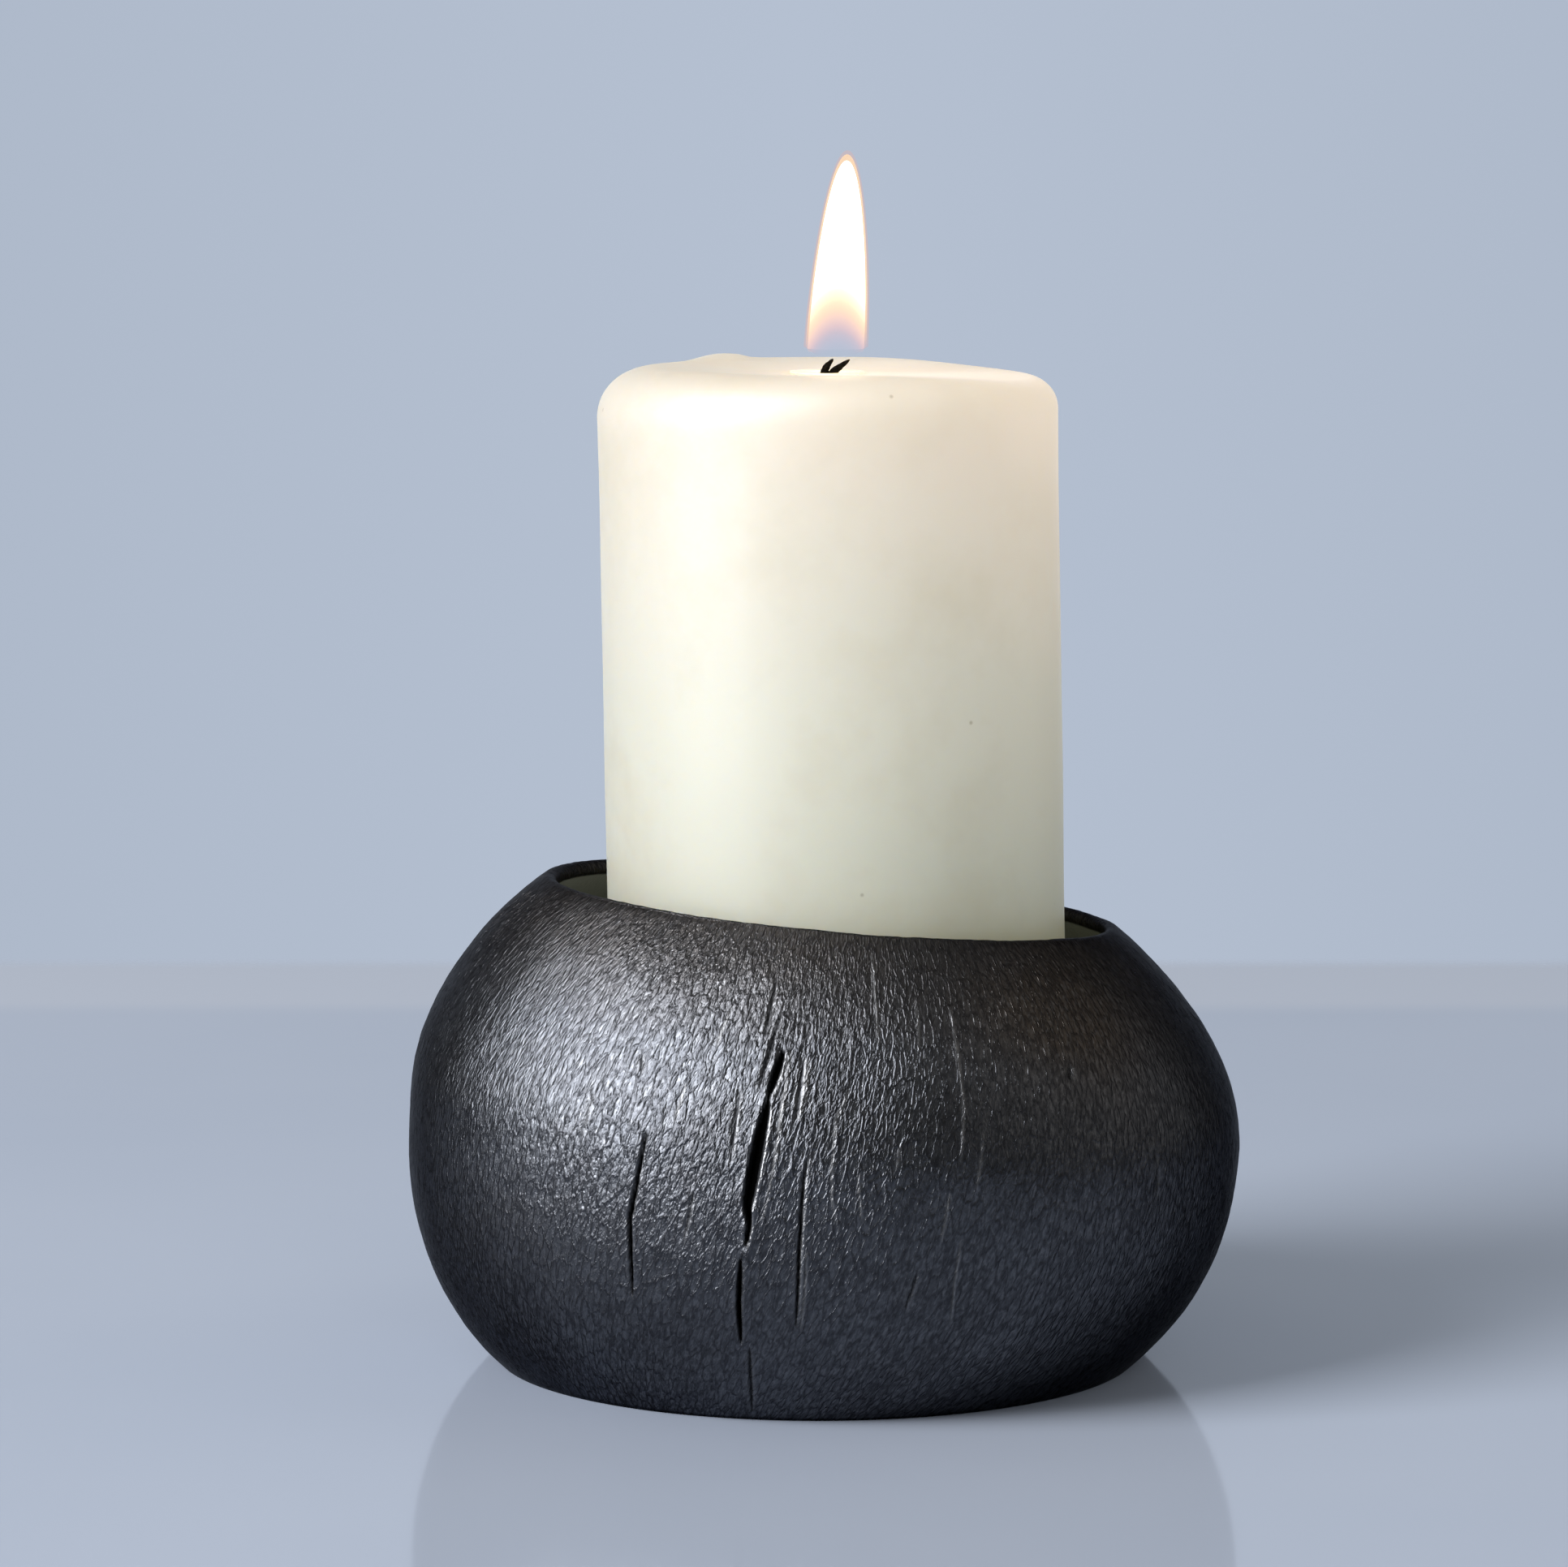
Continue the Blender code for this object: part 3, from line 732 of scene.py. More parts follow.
# %% Sizes of the candle
CANDLE_RADIUS = 0.0290
CANDLE_HEIGHT = 0.1188
CANDLE_FOOT = np.array((0.0024, 0.0005, 0.0073))
CANDLE_LEAN = math.tan(math.radians(-1.03))
FOOT_CHAMFER = 0.8 * MM
BORE_RADIUS = 1.3 * MM
CUP_RADIUS = 6.0 * MM
CUP_DEPTH = 1.45 * MM
CREST_DIP = 0.75 * MM
CANDLE_COLUMNS = 288
TOP_ROWS, SHOULDER_ROWS, SIDE_ROWS = 26, 14, 56


def from_left(angle):
    """1 on the left of the candle, 0 on its right. Azimuth 0 faces -Y, and grows towards +X."""
    return 0.5 - 0.5 * np.sin(angle)


def shoulder_width(angle):
    """Width of the melted shoulder, which is broad on the left and tight on the right."""
    return (3.9 + 2.9 * smooth_step(from_left(angle) * 1.1 - 0.05)) * MM


def shoulder_drop(angle):
    """Height of the melted shoulder."""
    return (3.9 + 2.5 * smooth_step(from_left(angle) * 1.1 - 0.05)) * MM


print("shoulder widths in mm:", shoulder_width(np.array([-np.pi / 2, 0.0, np.pi / 2])) * 1000)

# %% [markdown]
# The burnt top isn't level: it falls towards the right, wax has run and set in a low lump at the back left,
# and the surface is faintly wavy where it melted.

# %% Rings of the candle
candle_angle = np.linspace(-np.pi, np.pi, CANDLE_COLUMNS, endpoint=False)[None, :]


def mound(across, back, centre, size):
    """A soft heap of wax, 1 at its centre. Centre and size are given in mm, across and back."""
    off_across, off_back = across / MM - centre[0], back / MM - centre[1]
    return np.exp(-((off_across / size[0]) ** 2) - (off_back / size[1]) ** 2)


def top_height(radius, angle):
    """Height of the burnt top at a distance from the wick."""
    across, back = radius * np.sin(angle), -radius * np.cos(angle)
    bowl = CREST_DIP * (1.0 - smooth_step((radius - CUP_RADIUS) / (17.0 * MM)))
    cup = (CUP_DEPTH - CREST_DIP) * (1.0 - smooth_step((radius - 3.4 * MM) / (CUP_RADIUS - 3.4 * MM)))
    fall = 1.25 * MM * smooth_step((across - 3.0 * MM) / (27.0 * MM))
    lump = 0.75 * MM * mound(across, back, (-14.2, 18.5), (3.9, 3.4))
    crumbs = 0.30 * MM * mound(across, back, (-11.0, 17.5), (1.6, 1.8))
    ripple = 0.10 * MM * ring_noise(angle / (2.0 * np.pi) * 9, radius / (7.0 * MM), 9, 51)
    ripple = ripple * smooth_step((radius - CUP_RADIUS) / CUP_RADIUS)
    return CANDLE_HEIGHT - bowl - cup - fall + lump + crumbs + ripple


crest_radius = CANDLE_RADIUS - shoulder_width(candle_angle)
top_share = np.linspace(0.0, 1.0, TOP_ROWS)[:, None] ** 1.25
top_radius = BORE_RADIUS + (crest_radius - BORE_RADIUS) * top_share
top_z = top_height(top_radius, candle_angle)

bend = (np.pi / 2.0 * np.linspace(0.0, 1.0, SHOULDER_ROWS + 1)[1:])[:, None]
shoulder_radius = crest_radius + shoulder_width(candle_angle) * np.sin(bend)
crest_z = top_height(crest_radius, candle_angle)
shoulder_z = crest_z - shoulder_drop(candle_angle) * (1.0 - np.cos(bend))

side_share = np.linspace(0.0, 1.0, SIDE_ROWS + 1)[1:, None]
side_top = crest_z - shoulder_drop(candle_angle)
side_z = side_top + (FOOT_CHAMFER - side_top) * side_share
side_radius = np.full_like(side_z, CANDLE_RADIUS)

foot_edges = (CANDLE_RADIUS - FOOT_CHAMFER, BORE_RADIUS)
foot_radius = np.concatenate([np.full_like(candle_angle, edge) for edge in foot_edges])
foot_z = np.zeros_like(foot_radius)
candle_radius = np.concatenate((top_radius, shoulder_radius, side_radius, foot_radius))
candle_z = np.concatenate((top_z, shoulder_z, side_z, foot_z))
print("candle grid:", candle_radius.shape)

# %% [markdown]
# Cast wax pulls away from its mould as it cools, so the side isn't a true cylinder: it has soft hollows a
# fraction of a millimetre deep and faint upright drags from being drawn out of the tube.

# %% Unevenness of the side
candle_wide = np.broadcast_to(candle_angle, candle_radius.shape)
on_side = smooth_step((candle_radius - 0.6 * CANDLE_RADIUS) / (0.4 * CANDLE_RADIUS))
on_side = on_side * smooth_step(candle_z / (3.0 * MM))
hollows = ring_noise(candle_wide / (2.0 * np.pi) * 7, candle_z / (24.0 * MM), 7, 61)
drags = ring_noise(candle_wide / (2.0 * np.pi) * 60, candle_z / (60.0 * MM), 60, 62)
candle_radius = candle_radius + on_side * (0.13 * hollows + 0.03 * drags) * MM
candle_points = np.stack((
    CANDLE_FOOT[0] + CANDLE_LEAN * candle_z + candle_radius * np.sin(candle_wide),
    CANDLE_FOOT[1] - candle_radius * np.cos(candle_wide),
    CANDLE_FOOT[2] + candle_z,
), -1)
print("candle top in mm:", round(float(candle_points[..., 2].max()) * 1000, 2))

# %% [markdown]
# ## Ivory wax
#
# Paraffin with a little stearin, dyed ivory and cast. Light goes several millimetres into it and comes out
# warmer, so edges look soft and the part round the flame seems lit from inside. Most of that inner light is
# painted light: a glow in the material, centred well to the right of the wick on the candle's shaded side,
# which fades with the distance from there, and whose faint far end is painted fill light on the lower wax.
# The upper wax is painted a little warmer, standing in for the flame's warm light, and the lower wax is
# cooler and faintly green. Small specks of soot and cloudy, sweated patches break the colour.

# %% Material: ivory wax
PAINTED_GLOW_CENTRE = (0.019, 0.0, 0.127)  # centre of the painted glow, well to the right of the wick, on the candle's shaded side
GLOW_REACH = 0.100
wax, tree = new_material("cast_ivory_paraffin")
place = object_place(tree)
height = add_node(tree, "SeparateXYZ", {0: place}).outputs["Z"]
# Painted warmth: the upper wax is a little warmer, standing in for the flame's warm light.
wax_tone_and_flame_warmth = ramp(
    tree, remap(tree, height, (0.055, 0.126)),
    (0.0, "#D8D9CD"), (0.45, "#D9D9D0"), (0.80, "#DAD6CE"), (1.0, "#DAD2CA"),
)
# Sweated patches about 18 mm across.
cloud = noise(tree, place, 55.0, 4.0, 0.6)
clouded = tint(tree, remap(tree, cloud, (0.48, 0.74), (0.0, 0.55)), wax_tone_and_flame_warmth, "#C9C4B4")
# Specks of soot about 0.4 mm across, one in each 8 mm cell of wax, so only some of them reach the surface.
specks = add_node(tree, "TexVoronoi", {"Vector": place, "Scale": 120.0, "Randomness": 1.0})
speck_share = remap(tree, specks.outputs["Distance"], (0.045, 0.015), (0.0, 0.75))
wax_colour = tint(tree, speck_share, clouded, "#6E6657")
grain = noise(tree, place, 700.0, 2.0)
# Painted light: a glow fading with distance from its centre, for flame light above and fill light below.
from_glow_centre = add_node(tree, "VectorMath", {0: place, 1: PAINTED_GLOW_CENTRE}, operation="DISTANCE").outputs["Value"]
painted_wax_glow = ramp(
    tree, remap(tree, from_glow_centre, (0.0, GLOW_REACH)),
    (0.10, "#C8B8A2"), (0.23, "#A89B86"), (0.43, "#807A66"), (0.67, "#54533F"), (1.0, "#333327"),
)
add_surface(tree, add_node(
    tree, "BsdfPrincipled",
    {
        "Base Color": wax_colour,
        "Roughness": remap(tree, cloud, (0.3, 0.7), (0.36, 0.50)),
        "IOR": 1.44,
        "Subsurface Weight": 1.0,
        "Subsurface Radius": (1.0, 0.84, 0.62),
        "Subsurface Scale": 19.0 * MM,
        "Emission Color": painted_wax_glow,
        "Emission Strength": 1.0,
        "Normal": bump(tree, grain, 0.03 * MM, 0.35),
    },
))

# %% Build the candle
candle_faces = grid_faces(*candle_radius.shape, close_rows=True)
pillar = build_piece("ivory_pillar", candle_points, candle_faces, wax)
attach(pillar, "candle")
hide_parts("candle_wax")

# %% [markdown]
# ## Melted wax in the cup
#
# Liquid wax is clear and wets the cup's side, so it is a flat disc whose edge turns up in a thin film. It
# mirrors the foot of the flame and is lit through by it, which makes the bright line in front of the wick;
# that light is painted as a glow in the material.

# %% Melted wax
pool_low, pool_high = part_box("melt_pool")
pool_centre = (pool_low + pool_high) / 2.0
POOL_INNER = 1.15 * MM
POOL_ROWS = 9
pool_angle = np.linspace(-np.pi, np.pi, 96, endpoint=False)[None, :]
pool_share = np.linspace(0.0, 1.0, POOL_ROWS)[:, None]
pool_edge = (4.75 + 0.25 * np.sin(2.0 * pool_angle + 0.6)) * MM
pool_radius = POOL_INNER + (pool_edge - POOL_INNER) * pool_share
pool_level = pool_high.z + 0.16 * MM * smooth_step((pool_share - 0.6) / 0.4) + 0.0 * pool_angle
pool_bed = np.full_like(pool_level, pool_low.z)
pool_bed = pool_bed + (pool_high.z - pool_low.z) * smooth_step((pool_share - 0.55) / 0.45)
pool_radius_all = np.concatenate((pool_radius, pool_radius[::-1]))
pool_z = np.concatenate((pool_level, pool_bed[::-1]))
pool_wide = np.broadcast_to(pool_angle, pool_radius_all.shape)
pool_points = np.stack((
    pool_centre.x + pool_radius_all * np.sin(pool_wide),
    pool_centre.y - pool_radius_all * np.cos(pool_wide),
    pool_z,
), -1)

# %% Material: molten paraffin
melt, tree = new_material("molten_paraffin_clear")
swirl = noise(tree, object_place(tree), 300.0, 2.0)
add_surface(tree, add_node(
    tree, "BsdfPrincipled",
    {
        "Base Color": ramp(tree, swirl, (0.3, "#F4E2B6"), (0.7, "#FBEECB")),
        # Painted light: the flame's light through the liquid, as a glow.
        "Emission Color": ramp(tree, swirl, (0.3, "#FFE0A6"), (0.7, "#FFEDC4")),
        "Emission Strength": 0.7,
        "Roughness": 0.03,
        "IOR": 1.44,
        "Subsurface Weight": 0.4,
        "Subsurface Radius": (1.0, 0.80, 0.55),
        "Subsurface Scale": 3.0 * MM,
    },
))
melted = build_piece("melted_wax", pool_points, grid_faces(*pool_z.shape, close_rows=True), melt)
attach(melted, "candle")
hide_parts("melt_pool")

# %% [markdown]
# ## The wick
#
# Braided cotton curls as it burns, and its charred end has split into two strands here. Each strand is a
# tube swept along a short bent line, with a bumpy radius for the braid. The burnt strands thin out to
# points.

# %% Wick strands
WICK_SIDES = 14


def sweep(route, radii, seed):
    """Rings of points round a route, each with its own radius. The strands' ends are narrowed and capped
    where they are built.
    """
    route, radii = np.asarray(route, float), np.asarray(radii, float)
    forward = np.gradient(route, axis=0)
    forward /= np.linalg.norm(forward, axis=1)[:, None]
    right = np.cross(forward, (0.0, 1.0, 0.0))
    right /= np.linalg.norm(right, axis=1)[:, None]
    up = np.cross(right, forward)
    angle = np.linspace(0.0, 2.0 * np.pi, WICK_SIDES, endpoint=False)
    bumpy = 1.0 + np.random.default_rng(seed).uniform(-0.10, 0.10, (len(route), WICK_SIDES))
    reach = radii[:, None, None] * bumpy[..., None]
    outward = np.cos(angle)[:, None] * right[:, None] + np.sin(angle)[:, None] * up[:, None]
    return route[:, None, :] + reach * outward


def bent_line(corners, count):
    """A smooth line of points through a few corners."""
    corners = np.asarray(corners, float)
    knots = np.linspace(0.0, 1.0, len(corners))
    fine = np.linspace(0.0, 1.0, count)
    line = np.stack([np.interp(fine, knots, corners[:, axis]) for axis in range(3)], -1)
    for _ in range(3):
        line[1:-1] = (line[:-2] + 2.0 * line[1:-1] + line[2:]) / 4.0
    return line


wick_x, wick_y = pool_centre.x, pool_centre.y
trunk_top = pool_high.z + 0.10 * MM
STRANDS = (
    ((wick_x, wick_y, 0.0080), (wick_x, wick_y, 0.1150), (wick_x + 0.05 * MM, wick_y, trunk_top)),
    (
        (wick_x - 0.35 * MM, wick_y, trunk_top - 0.6 * MM),
        (wick_x - 0.15 * MM, wick_y - 0.1 * MM, trunk_top + 0.5 * MM),
        (wick_x + 0.80 * MM, wick_y - 0.2 * MM, 0.1271),
    ),
    (
        (wick_x + 0.35 * MM, wick_y, trunk_top - 0.6 * MM),
        (wick_x + 1.30 * MM, wick_y, trunk_top + 0.4 * MM),
        (wick_x + 2.90 * MM, wick_y - 0.1 * MM, 0.1270),
    ),
)
WICK_RADII = (0.95 * MM, 0.56 * MM, 0.54 * MM)
wick_points, wick_faces = [], []
for index, (corners, radius) in enumerate(zip(STRANDS, WICK_RADII)):
    line = bent_line(corners, 40 if index == 0 else 16)
    burnt_away = 0.0 if index == 0 else 0.75
    radii = radius * (1.0 - burnt_away * np.linspace(0.0, 1.0, len(line)) ** 2)
    radii[0] = 0.15 * radius
    radii[-1] *= 0.4
    ring = sweep(line, radii, 70 + index)
    faces = grid_faces(ring.shape[0], WICK_SIDES)
    start = sum(len(points) for points in wick_points)
    wick_faces += [[start + corner for corner in face] for face in faces.tolist()]
    last = start + (ring.shape[0] - 1) * WICK_SIDES
    wick_faces += [list(range(start, start + WICK_SIDES))[::-1], list(range(last, last + WICK_SIDES))]
    wick_points.append(ring.reshape(-1, 3))
print("wick strands:", len(wick_points))

# %% Material: charred cotton
CHAR_FROM, CHAR_TO = 0.1230, 0.1250
cotton, tree = new_material("braided_cotton_charred")
place = object_place(tree)
height = add_node(tree, "SeparateXYZ", {0: place}).outputs["Z"]
burnt = remap(tree, height, (CHAR_FROM, CHAR_TO))
# Braid about 0.5 mm wide, as 24-ply wick is plaited.
braid_at = {"Vector": place, "Scale": 600.0, "Distortion": 2.0}
braid = add_node(tree, "TexWave", braid_at, bands_direction="DIAGONAL")
add_surface(tree, add_node(
    tree, "BsdfPrincipled",
    {
        "Base Color": tint(tree, burnt, linear("#E6DFC8"), "#0C0B0A"),
        "Roughness": 0.85,
        "IOR": 1.25,
        "Normal": bump(tree, braid.outputs["Fac"], 0.10 * MM, 0.8),
    },
))
wick = build_piece("braided_wick", np.concatenate(wick_points), wick_faces, cotton)
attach(wick, "candle")
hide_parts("wick")

# %% [markdown]
# ## The flame
#
# A flame has layers: a clear bluish foot where the wax vapour mixes with air, a bright heart of glowing
# soot, and a thin orange mantle round it. Three closed shells, one inside the other, give those layers from
# every side. Each shell glows, and lets more through towards its foot.

# %% Flame shells
FLAME_RADIUS = 4.05 * MM
FLAME_UPPER = (0.0247, 1.6)
FLAME_LOWER = (0.0010, 2.4)
FLAME_WIDEST = np.array((0.00142, 0.0005, 0.1285))
FLAME_LEAN = math.tan(math.radians(3.3))
FLAME_COLUMNS, FLAME_ROWS = 48, 44
FLAME_FOOT, FLAME_TIP = 0.127, 0.155
# The dark zone over the wick makes an arch: in the middle the glow starts some mm higher than at the sides.
FLAME_MIDDLE, FLAME_ARCH = 0.0016, 240.0


def flame_shell(inset, top_inset, foot):
    """Points of a closed flame shell, set in from the outer flame by so much, and starting at a height."""
    share = np.linspace(0.0, 1.0, FLAME_ROWS)[:, None]
    low, high = foot - FLAME_WIDEST[2], FLAME_UPPER[0] - top_inset
    height = low + (high - low) * (1.0 - (1.0 - share) ** 1.6)
    reach = np.where(height > 0.0, high, FLAME_LOWER[0])
    power = np.where(height > 0.0, FLAME_UPPER[1], FLAME_LOWER[1])
    radius = (FLAME_RADIUS - inset) * np.sqrt(np.maximum(0.0, 1.0 - (np.abs(height) / reach) ** power))
    radius = np.maximum(radius, 0.02 * MM)
    angle = np.linspace(-np.pi, np.pi, FLAME_COLUMNS, endpoint=False)[None, :]
    x = FLAME_WIDEST[0] + FLAME_LEAN * height + radius * np.sin(angle)
    y = FLAME_WIDEST[1] - radius * np.cos(angle)
    return np.stack((x, y, FLAME_WIDEST[2] + height + 0.0 * angle), -1)


def flame_material(name, glow, strength, clear):
    """A glowing, see-through material. Each list of stops runs from the flame's foot to its tip."""
    material, tree = new_material(name)
    parts = add_node(tree, "SeparateXYZ", {0: object_place(tree)})
    off_middle = add_node(tree, "Math", {0: parts.outputs["X"], 1: FLAME_MIDDLE}, operation="SUBTRACT")
    squared = multiply(tree, off_middle.outputs[0], off_middle.outputs[0])
    arched = multiply_add(tree, squared, FLAME_ARCH, parts.outputs["Z"])
    share = remap(tree, arched, (FLAME_FOOT, FLAME_TIP))
    light = add_node(tree, "Emission", {"Color": ramp(tree, share, *glow), "Strength": strength}).outputs[0]
    through = add_node(tree, "BsdfTransparent").outputs[0]
    add_surface(tree, add_node(tree, "MixShader", {0: ramp(tree, share, *clear), 1: through, 2: light}))
    return material


# Each shell: name, how far it is set in at the side and at the tip, where its foot is, its strength, and the
# stops of its glow and of its body. A black stop in the body is clear gas, and a white one is opaque.
SHELLS = (
    (
        "flame_mantle", 0.00 * MM, 0.0 * MM, 0.1277, 1.0,
        [(0.0, "#8C9BD6"), (0.12, "#D3A5B8"), (0.22, "#F7AE92"), (0.40, "#FFB58A"), (1.0, "#FF9E6A")],
        [(0.0, "#000000"), (0.06, "#2A2A2A"), (0.16, "#5C5C5C"), (0.35, "#6E6E6E"), (1.0, "#565656")],
    ),
    (
        "flame_veil", 0.24 * MM, 0.5 * MM, 0.1280, 1.3,
        [(0.0, "#A9B4E4"), (0.14, "#EDB9AC"), (0.24, "#FFCE9E"), (0.40, "#FFE2B4"), (1.0, "#FFD8A0")],
        [(0.0, "#000000"), (0.08, "#242424"), (0.18, "#5A5A5A"), (0.30, "#A0A0A0"), (1.0, "#A0A0A0")],
    ),
    (
        "flame_heart", 0.50 * MM, 1.3 * MM, 0.1284, 5.0,
        [(0.0, "#B8B4D8"), (0.14, "#FFB49A"), (0.22, "#FFD79C"), (0.30, "#FFF3D0"), (1.0, "#FFF8E8")],
        [(0.0, "#000000"), (0.12, "#1B1B1B"), (0.175, "#363636"), (0.255, "#4A4A4A"), (0.315, "#6F6F6F"),
         (0.42, "#FFFFFF")],
    ),
)
for name, inset, top_inset, foot, strength, glow, clear in SHELLS:
    ring = flame_shell(inset, top_inset, foot)
    rows, columns = ring.shape[:2]
    faces = grid_faces(rows, columns).tolist()
    last = (rows - 1) * columns
    faces += [list(range(columns))[::-1], [last + side for side in range(columns)]]
    shell = build_piece(name, ring, faces, flame_material("glowing_gas_" + name, glow, strength, clear))
    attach(shell, "candle")
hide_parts("flame")

# %% [markdown]
# ## The table
#
# The object stands on a pale lacquered board. Lacquer mirrors weakly from above and strongly at a low
# angle, so the globe's foot and the paper behind it show in the board. The last stretch towards the far
# edge is painted paler, a painted highlight along the board's edge, and the edge itself fades into the
# backdrop.

# %% Table
FLOOR_HALF_WIDTH, FLOOR_NEAR, FLOOR_FAR = 0.75, -0.62, 0.340
FLOOR_FADE = 0.015
EDGE_HIGHLIGHT_FROM, EDGE_HIGHLIGHT_TO = 0.272, 0.290


def stage_sheet(name, corners):
    """A flat sheet with four corners, for the studio."""
    mesh = bpy.data.meshes.new(name)
    mesh.from_pydata(corners, [], [(0, 1, 2, 3)])
    sheet = bpy.data.objects.new(name, mesh)
    bpy.context.scene.collection.objects.link(sheet)
    return sheet


floor = stage_sheet("table_top", (
    (-FLOOR_HALF_WIDTH, FLOOR_NEAR, 0.0), (FLOOR_HALF_WIDTH, FLOOR_NEAR, 0.0),
    (FLOOR_HALF_WIDTH, FLOOR_FAR, 0.0), (-FLOOR_HALF_WIDTH, FLOOR_FAR, 0.0),
))
print("table in m:", 2.0 * FLOOR_HALF_WIDTH, "x", FLOOR_FAR - FLOOR_NEAR)

# %% Material: lacquered board
lacquer, tree = new_material("pale_lacquered_board")
place = object_place(tree)
depth = add_node(tree, "SeparateXYZ", {0: place}).outputs["Y"]
gone_share = remap(tree, depth, (FLOOR_FAR - FLOOR_FADE, FLOOR_FAR), kind="SMOOTHSTEP")
# Painted highlight: a paler stretch along the board's far edge.
edge_highlight_share = remap(tree, depth, (EDGE_HIGHLIGHT_FROM, EDGE_HIGHLIGHT_TO), kind="SMOOTHSTEP")
board_colour = ramp(tree, noise(tree, place, 9.0, 3.0), (0.3, "#CEDBF2"), (0.7, "#D3DFF5"))
matt = add_node(tree, "BsdfDiffuse", {"Color": tint(tree, edge_highlight_share, board_colour, "#DFE8FA")}).outputs[0]
gloss = add_node(tree, "BsdfGlossy", {"Color": linear("#FFFFFF"), "Roughness": 0.08}).outputs[0]
gloss_share = multiply(tree, add_node(tree, "Fresnel", {"IOR": 1.5}).outputs[0], 0.65)
board = add_node(tree, "MixShader", {0: gloss_share, 1: matt, 2: gloss}).outputs[0]
gone = add_node(tree, "BsdfTransparent").outputs[0]
add_surface(tree, add_node(tree, "MixShader", {0: gone_share, 1: board, 2: gone}))
floor.data.materials.append(lacquer)
print("board nodes:", len(tree.nodes))

# %% [markdown]
# ## Backdrop
#
# A sheet of cool blue-grey paper stands 1.35 m behind the object. It glows as paper does that has its own
# lamps, a little brighter in the middle as a painted pool of their light. Past its edges the camera sees a
# plain world of the same colour. What the world adds to the object is much dimmer and neutral, as in a dark
# room, so that the globe's shaded side stays black.

# %% World
world = bpy.data.worlds.new("studio")
bpy.context.scene.world = world
world.use_nodes = True
tree = world.node_tree
tree.nodes.clear()
paper = add_node(tree, "Background", {"Color": linear("#B0BBCC"), "Strength": 1.0}).outputs[0]
dim = add_node(tree, "Background", {"Color": linear("#62615E"), "Strength": 1.0}).outputs[0]
seen = add_node(tree, "LightPath").outputs["Is Camera Ray"]
room = add_node(tree, "MixShader", {0: seen, 1: dim, 2: paper})
add_node(tree, "OutputWorld", {"Surface": room.outputs[0]})
print("world nodes:", len(tree.nodes))

# %% Lit paper behind the object
PAPER_BACK, PAPER_HALF_WIDTH, PAPER_LOW, PAPER_TOP = 1.35, 0.75, -0.30, 0.80
backdrop = stage_sheet("backdrop_paper", (
    (-PAPER_HALF_WIDTH, PAPER_BACK, PAPER_LOW), (PAPER_HALF_WIDTH, PAPER_BACK, PAPER_LOW),
    (PAPER_HALF_WIDTH, PAPER_BACK, PAPER_TOP), (-PAPER_HALF_WIDTH, PAPER_BACK, PAPER_TOP),
))
sheet, tree = new_material("seamless_paper_lit")
across = add_node(tree, "SeparateXYZ", {0: object_place(tree)}).outputs["X"]
from_centre = add_node(tree, "Math", {0: across}, operation="ABSOLUTE").outputs[0]
# Painted pool of lamp light: the paper is a little brighter in the middle.
paper_tone_and_lamp_pool = ramp(tree, from_centre, (0.0, "#B5C0D1"), (0.30, "#AEB9CA"))
add_surface(tree, add_node(tree, "Emission", {"Color": paper_tone_and_lamp_pool, "Strength": 1.0}))
backdrop.data.materials.append(sheet)
print("paper in m:", 2.0 * PAPER_HALF_WIDTH, "x", PAPER_TOP - PAPER_LOW)

# %% [markdown]
# ## Lights
#
# A product studio balances sheen and shadow with several lights, and each one here has one task. A soft box
# at the front left lights the matt surfaces and throws the shadow to the right. A low card in front returns
# light to the candle's foot. Neither shows in glossy surfaces. A broad panel, nearer, makes only the long
# satin sheen on iron and wax, and is kept off the table by light linking. A weak reflector on the right
# lifts the far side.

# %% Lights
AIM_HEIGHT = 0.05


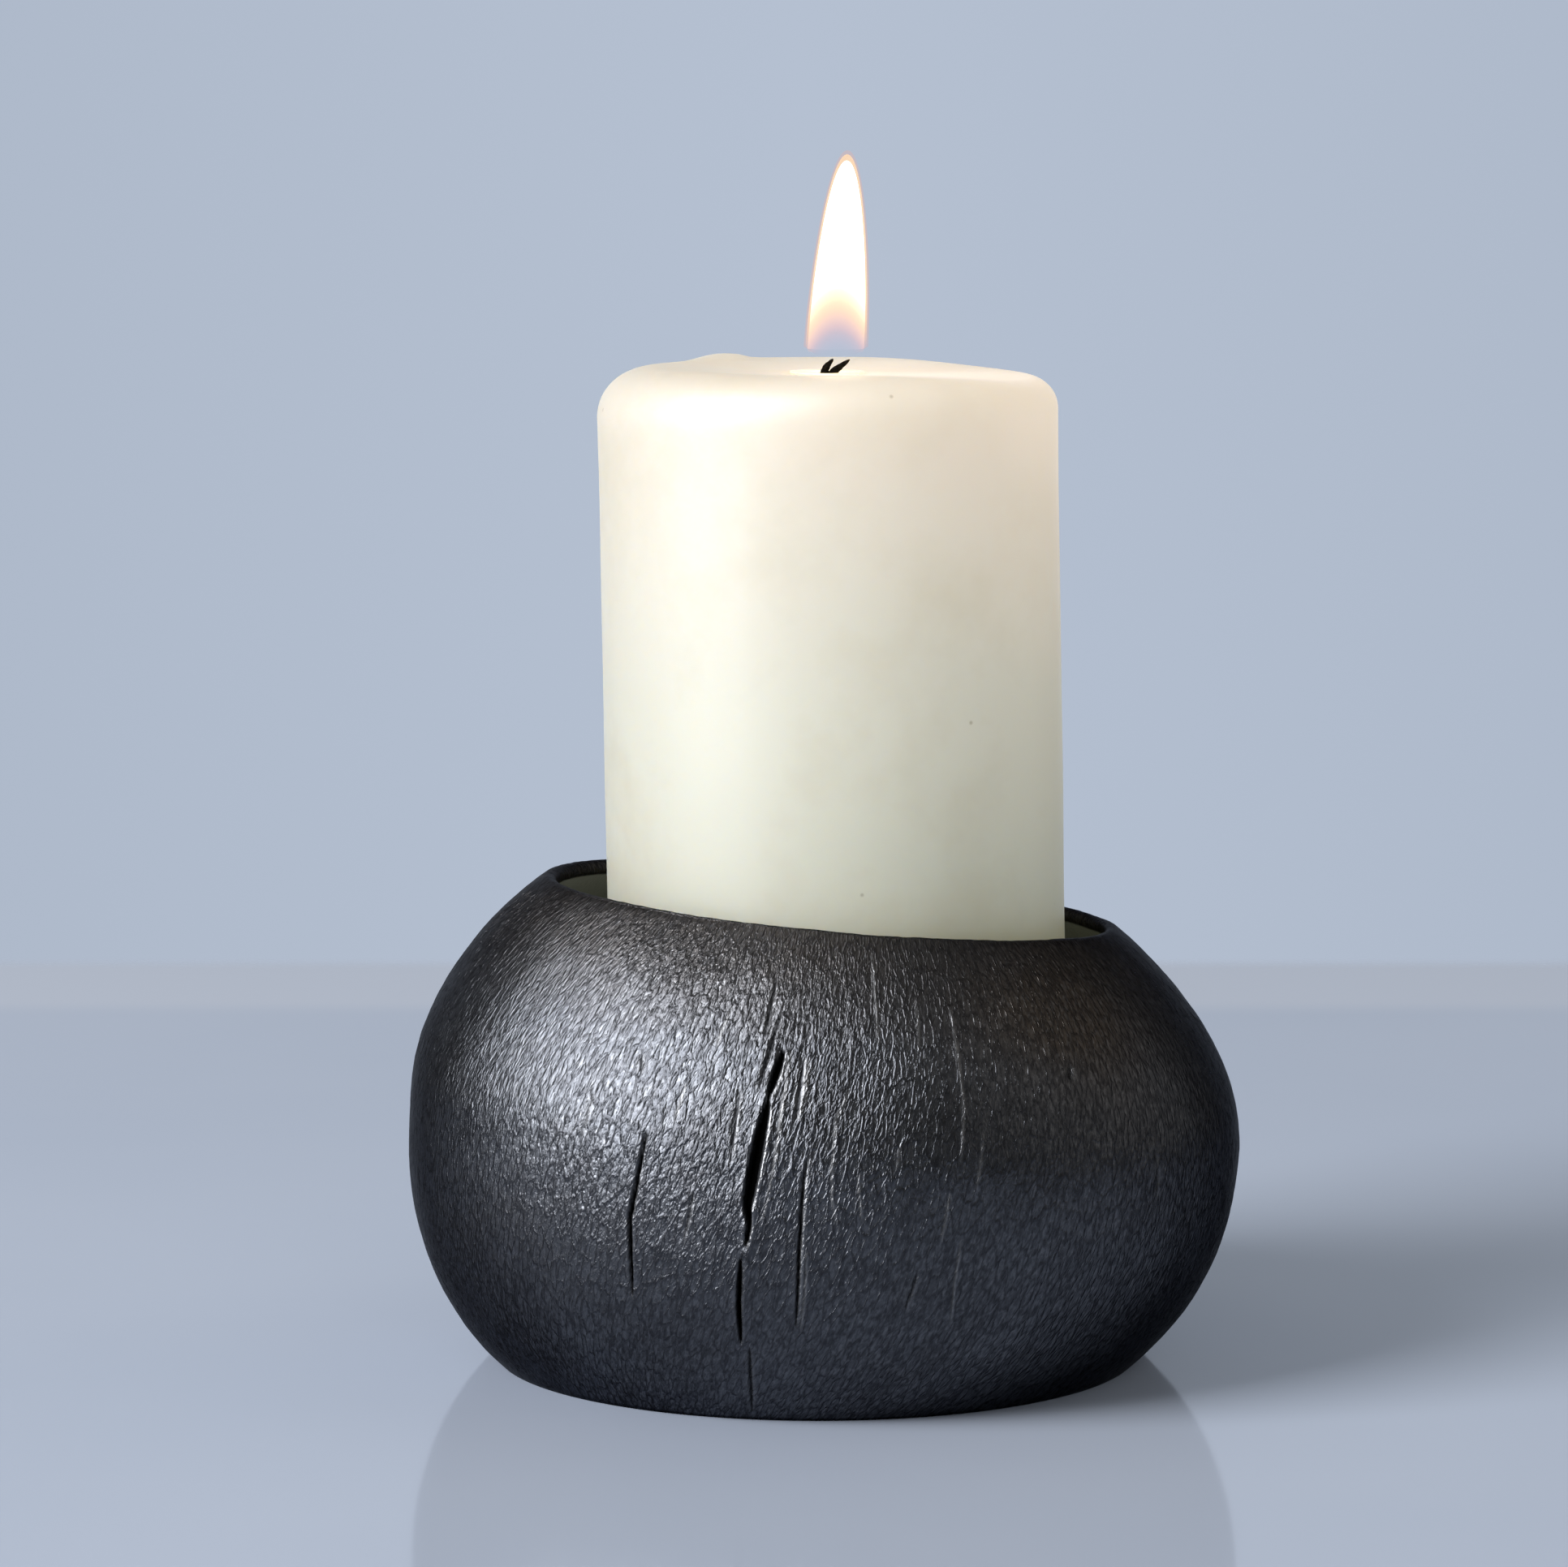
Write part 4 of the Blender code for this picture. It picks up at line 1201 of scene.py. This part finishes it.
def area_light(name, azimuth, elevation, distance, size, energy, colour):
    """A rectangular light that faces the object. Azimuth 0 is in front of it, and grows towards +X."""
    lamp = bpy.data.lights.new(name, "AREA")
    lamp.shape = "RECTANGLE"
    lamp.size, lamp.size_y = size
    lamp.energy = energy
    lamp.color = colour
    light = bpy.data.objects.new(name, lamp)
    azimuth, elevation = math.radians(azimuth), math.radians(elevation)
    light.location = (
        distance * math.sin(azimuth) * math.cos(elevation),
        -distance * math.cos(azimuth) * math.cos(elevation),
        AIM_HEIGHT + distance * math.sin(elevation),
    )
    light.rotation_euler = (math.pi / 2.0 - elevation, 0.0, azimuth)
    light.visible_camera = False
    bpy.context.scene.collection.objects.link(light)
    print(name, "at", [round(part, 2) for part in light.location])
    return light


soft_box = area_light("soft_box", -58.0, 30.0, 2.2, (1.20, 1.10), 45.0, (1.0, 0.985, 0.97))
soft_box.visible_glossy = False
bounce_card = area_light("bounce_card", 3.0, 6.0, 1.2, (1.00, 0.25), 3.0, (0.98, 1.0, 1.0))
bounce_card.visible_glossy = False
sheen_panel = area_light("sheen_panel", -60.5, 32.0, 1.2, (1.20, 1.60), 71.0, (0.96, 0.98, 1.0))
sheen_panel.visible_diffuse = False
lit_by_panel = bpy.data.collections.new("lit_by_panel")
for lit in (globe, pillar):
    lit_by_panel.objects.link(lit)
sheen_panel.light_linking.receiver_collection = lit_by_panel
area_light("reflector", 92.0, 28.0, 1.1, (1.30, 1.10), 1.6, (1.0, 0.95, 0.88))

# %% [markdown]
# ## Camera
#
# A long lens, a little above the candle and tipped down by 7 degrees, keeps the upright lines upright. The
# view transform is the plain one, so that colours come out as they were picked.

# %% Camera and view
camera_data = bpy.data.cameras.new("camera")
camera_data.lens = 141.26
camera_data.sensor_width = 36.0
camera = bpy.data.objects.new("camera", camera_data)
camera.location = (-0.0051, -0.7743, 0.1673)
camera.rotation_euler = (math.radians(90.0 - 6.92), 0.0, 0.0)
bpy.context.scene.collection.objects.link(camera)
bpy.context.scene.camera = camera
bpy.context.scene.view_settings.view_transform = "Standard"
print("camera lens in mm:", camera_data.lens)
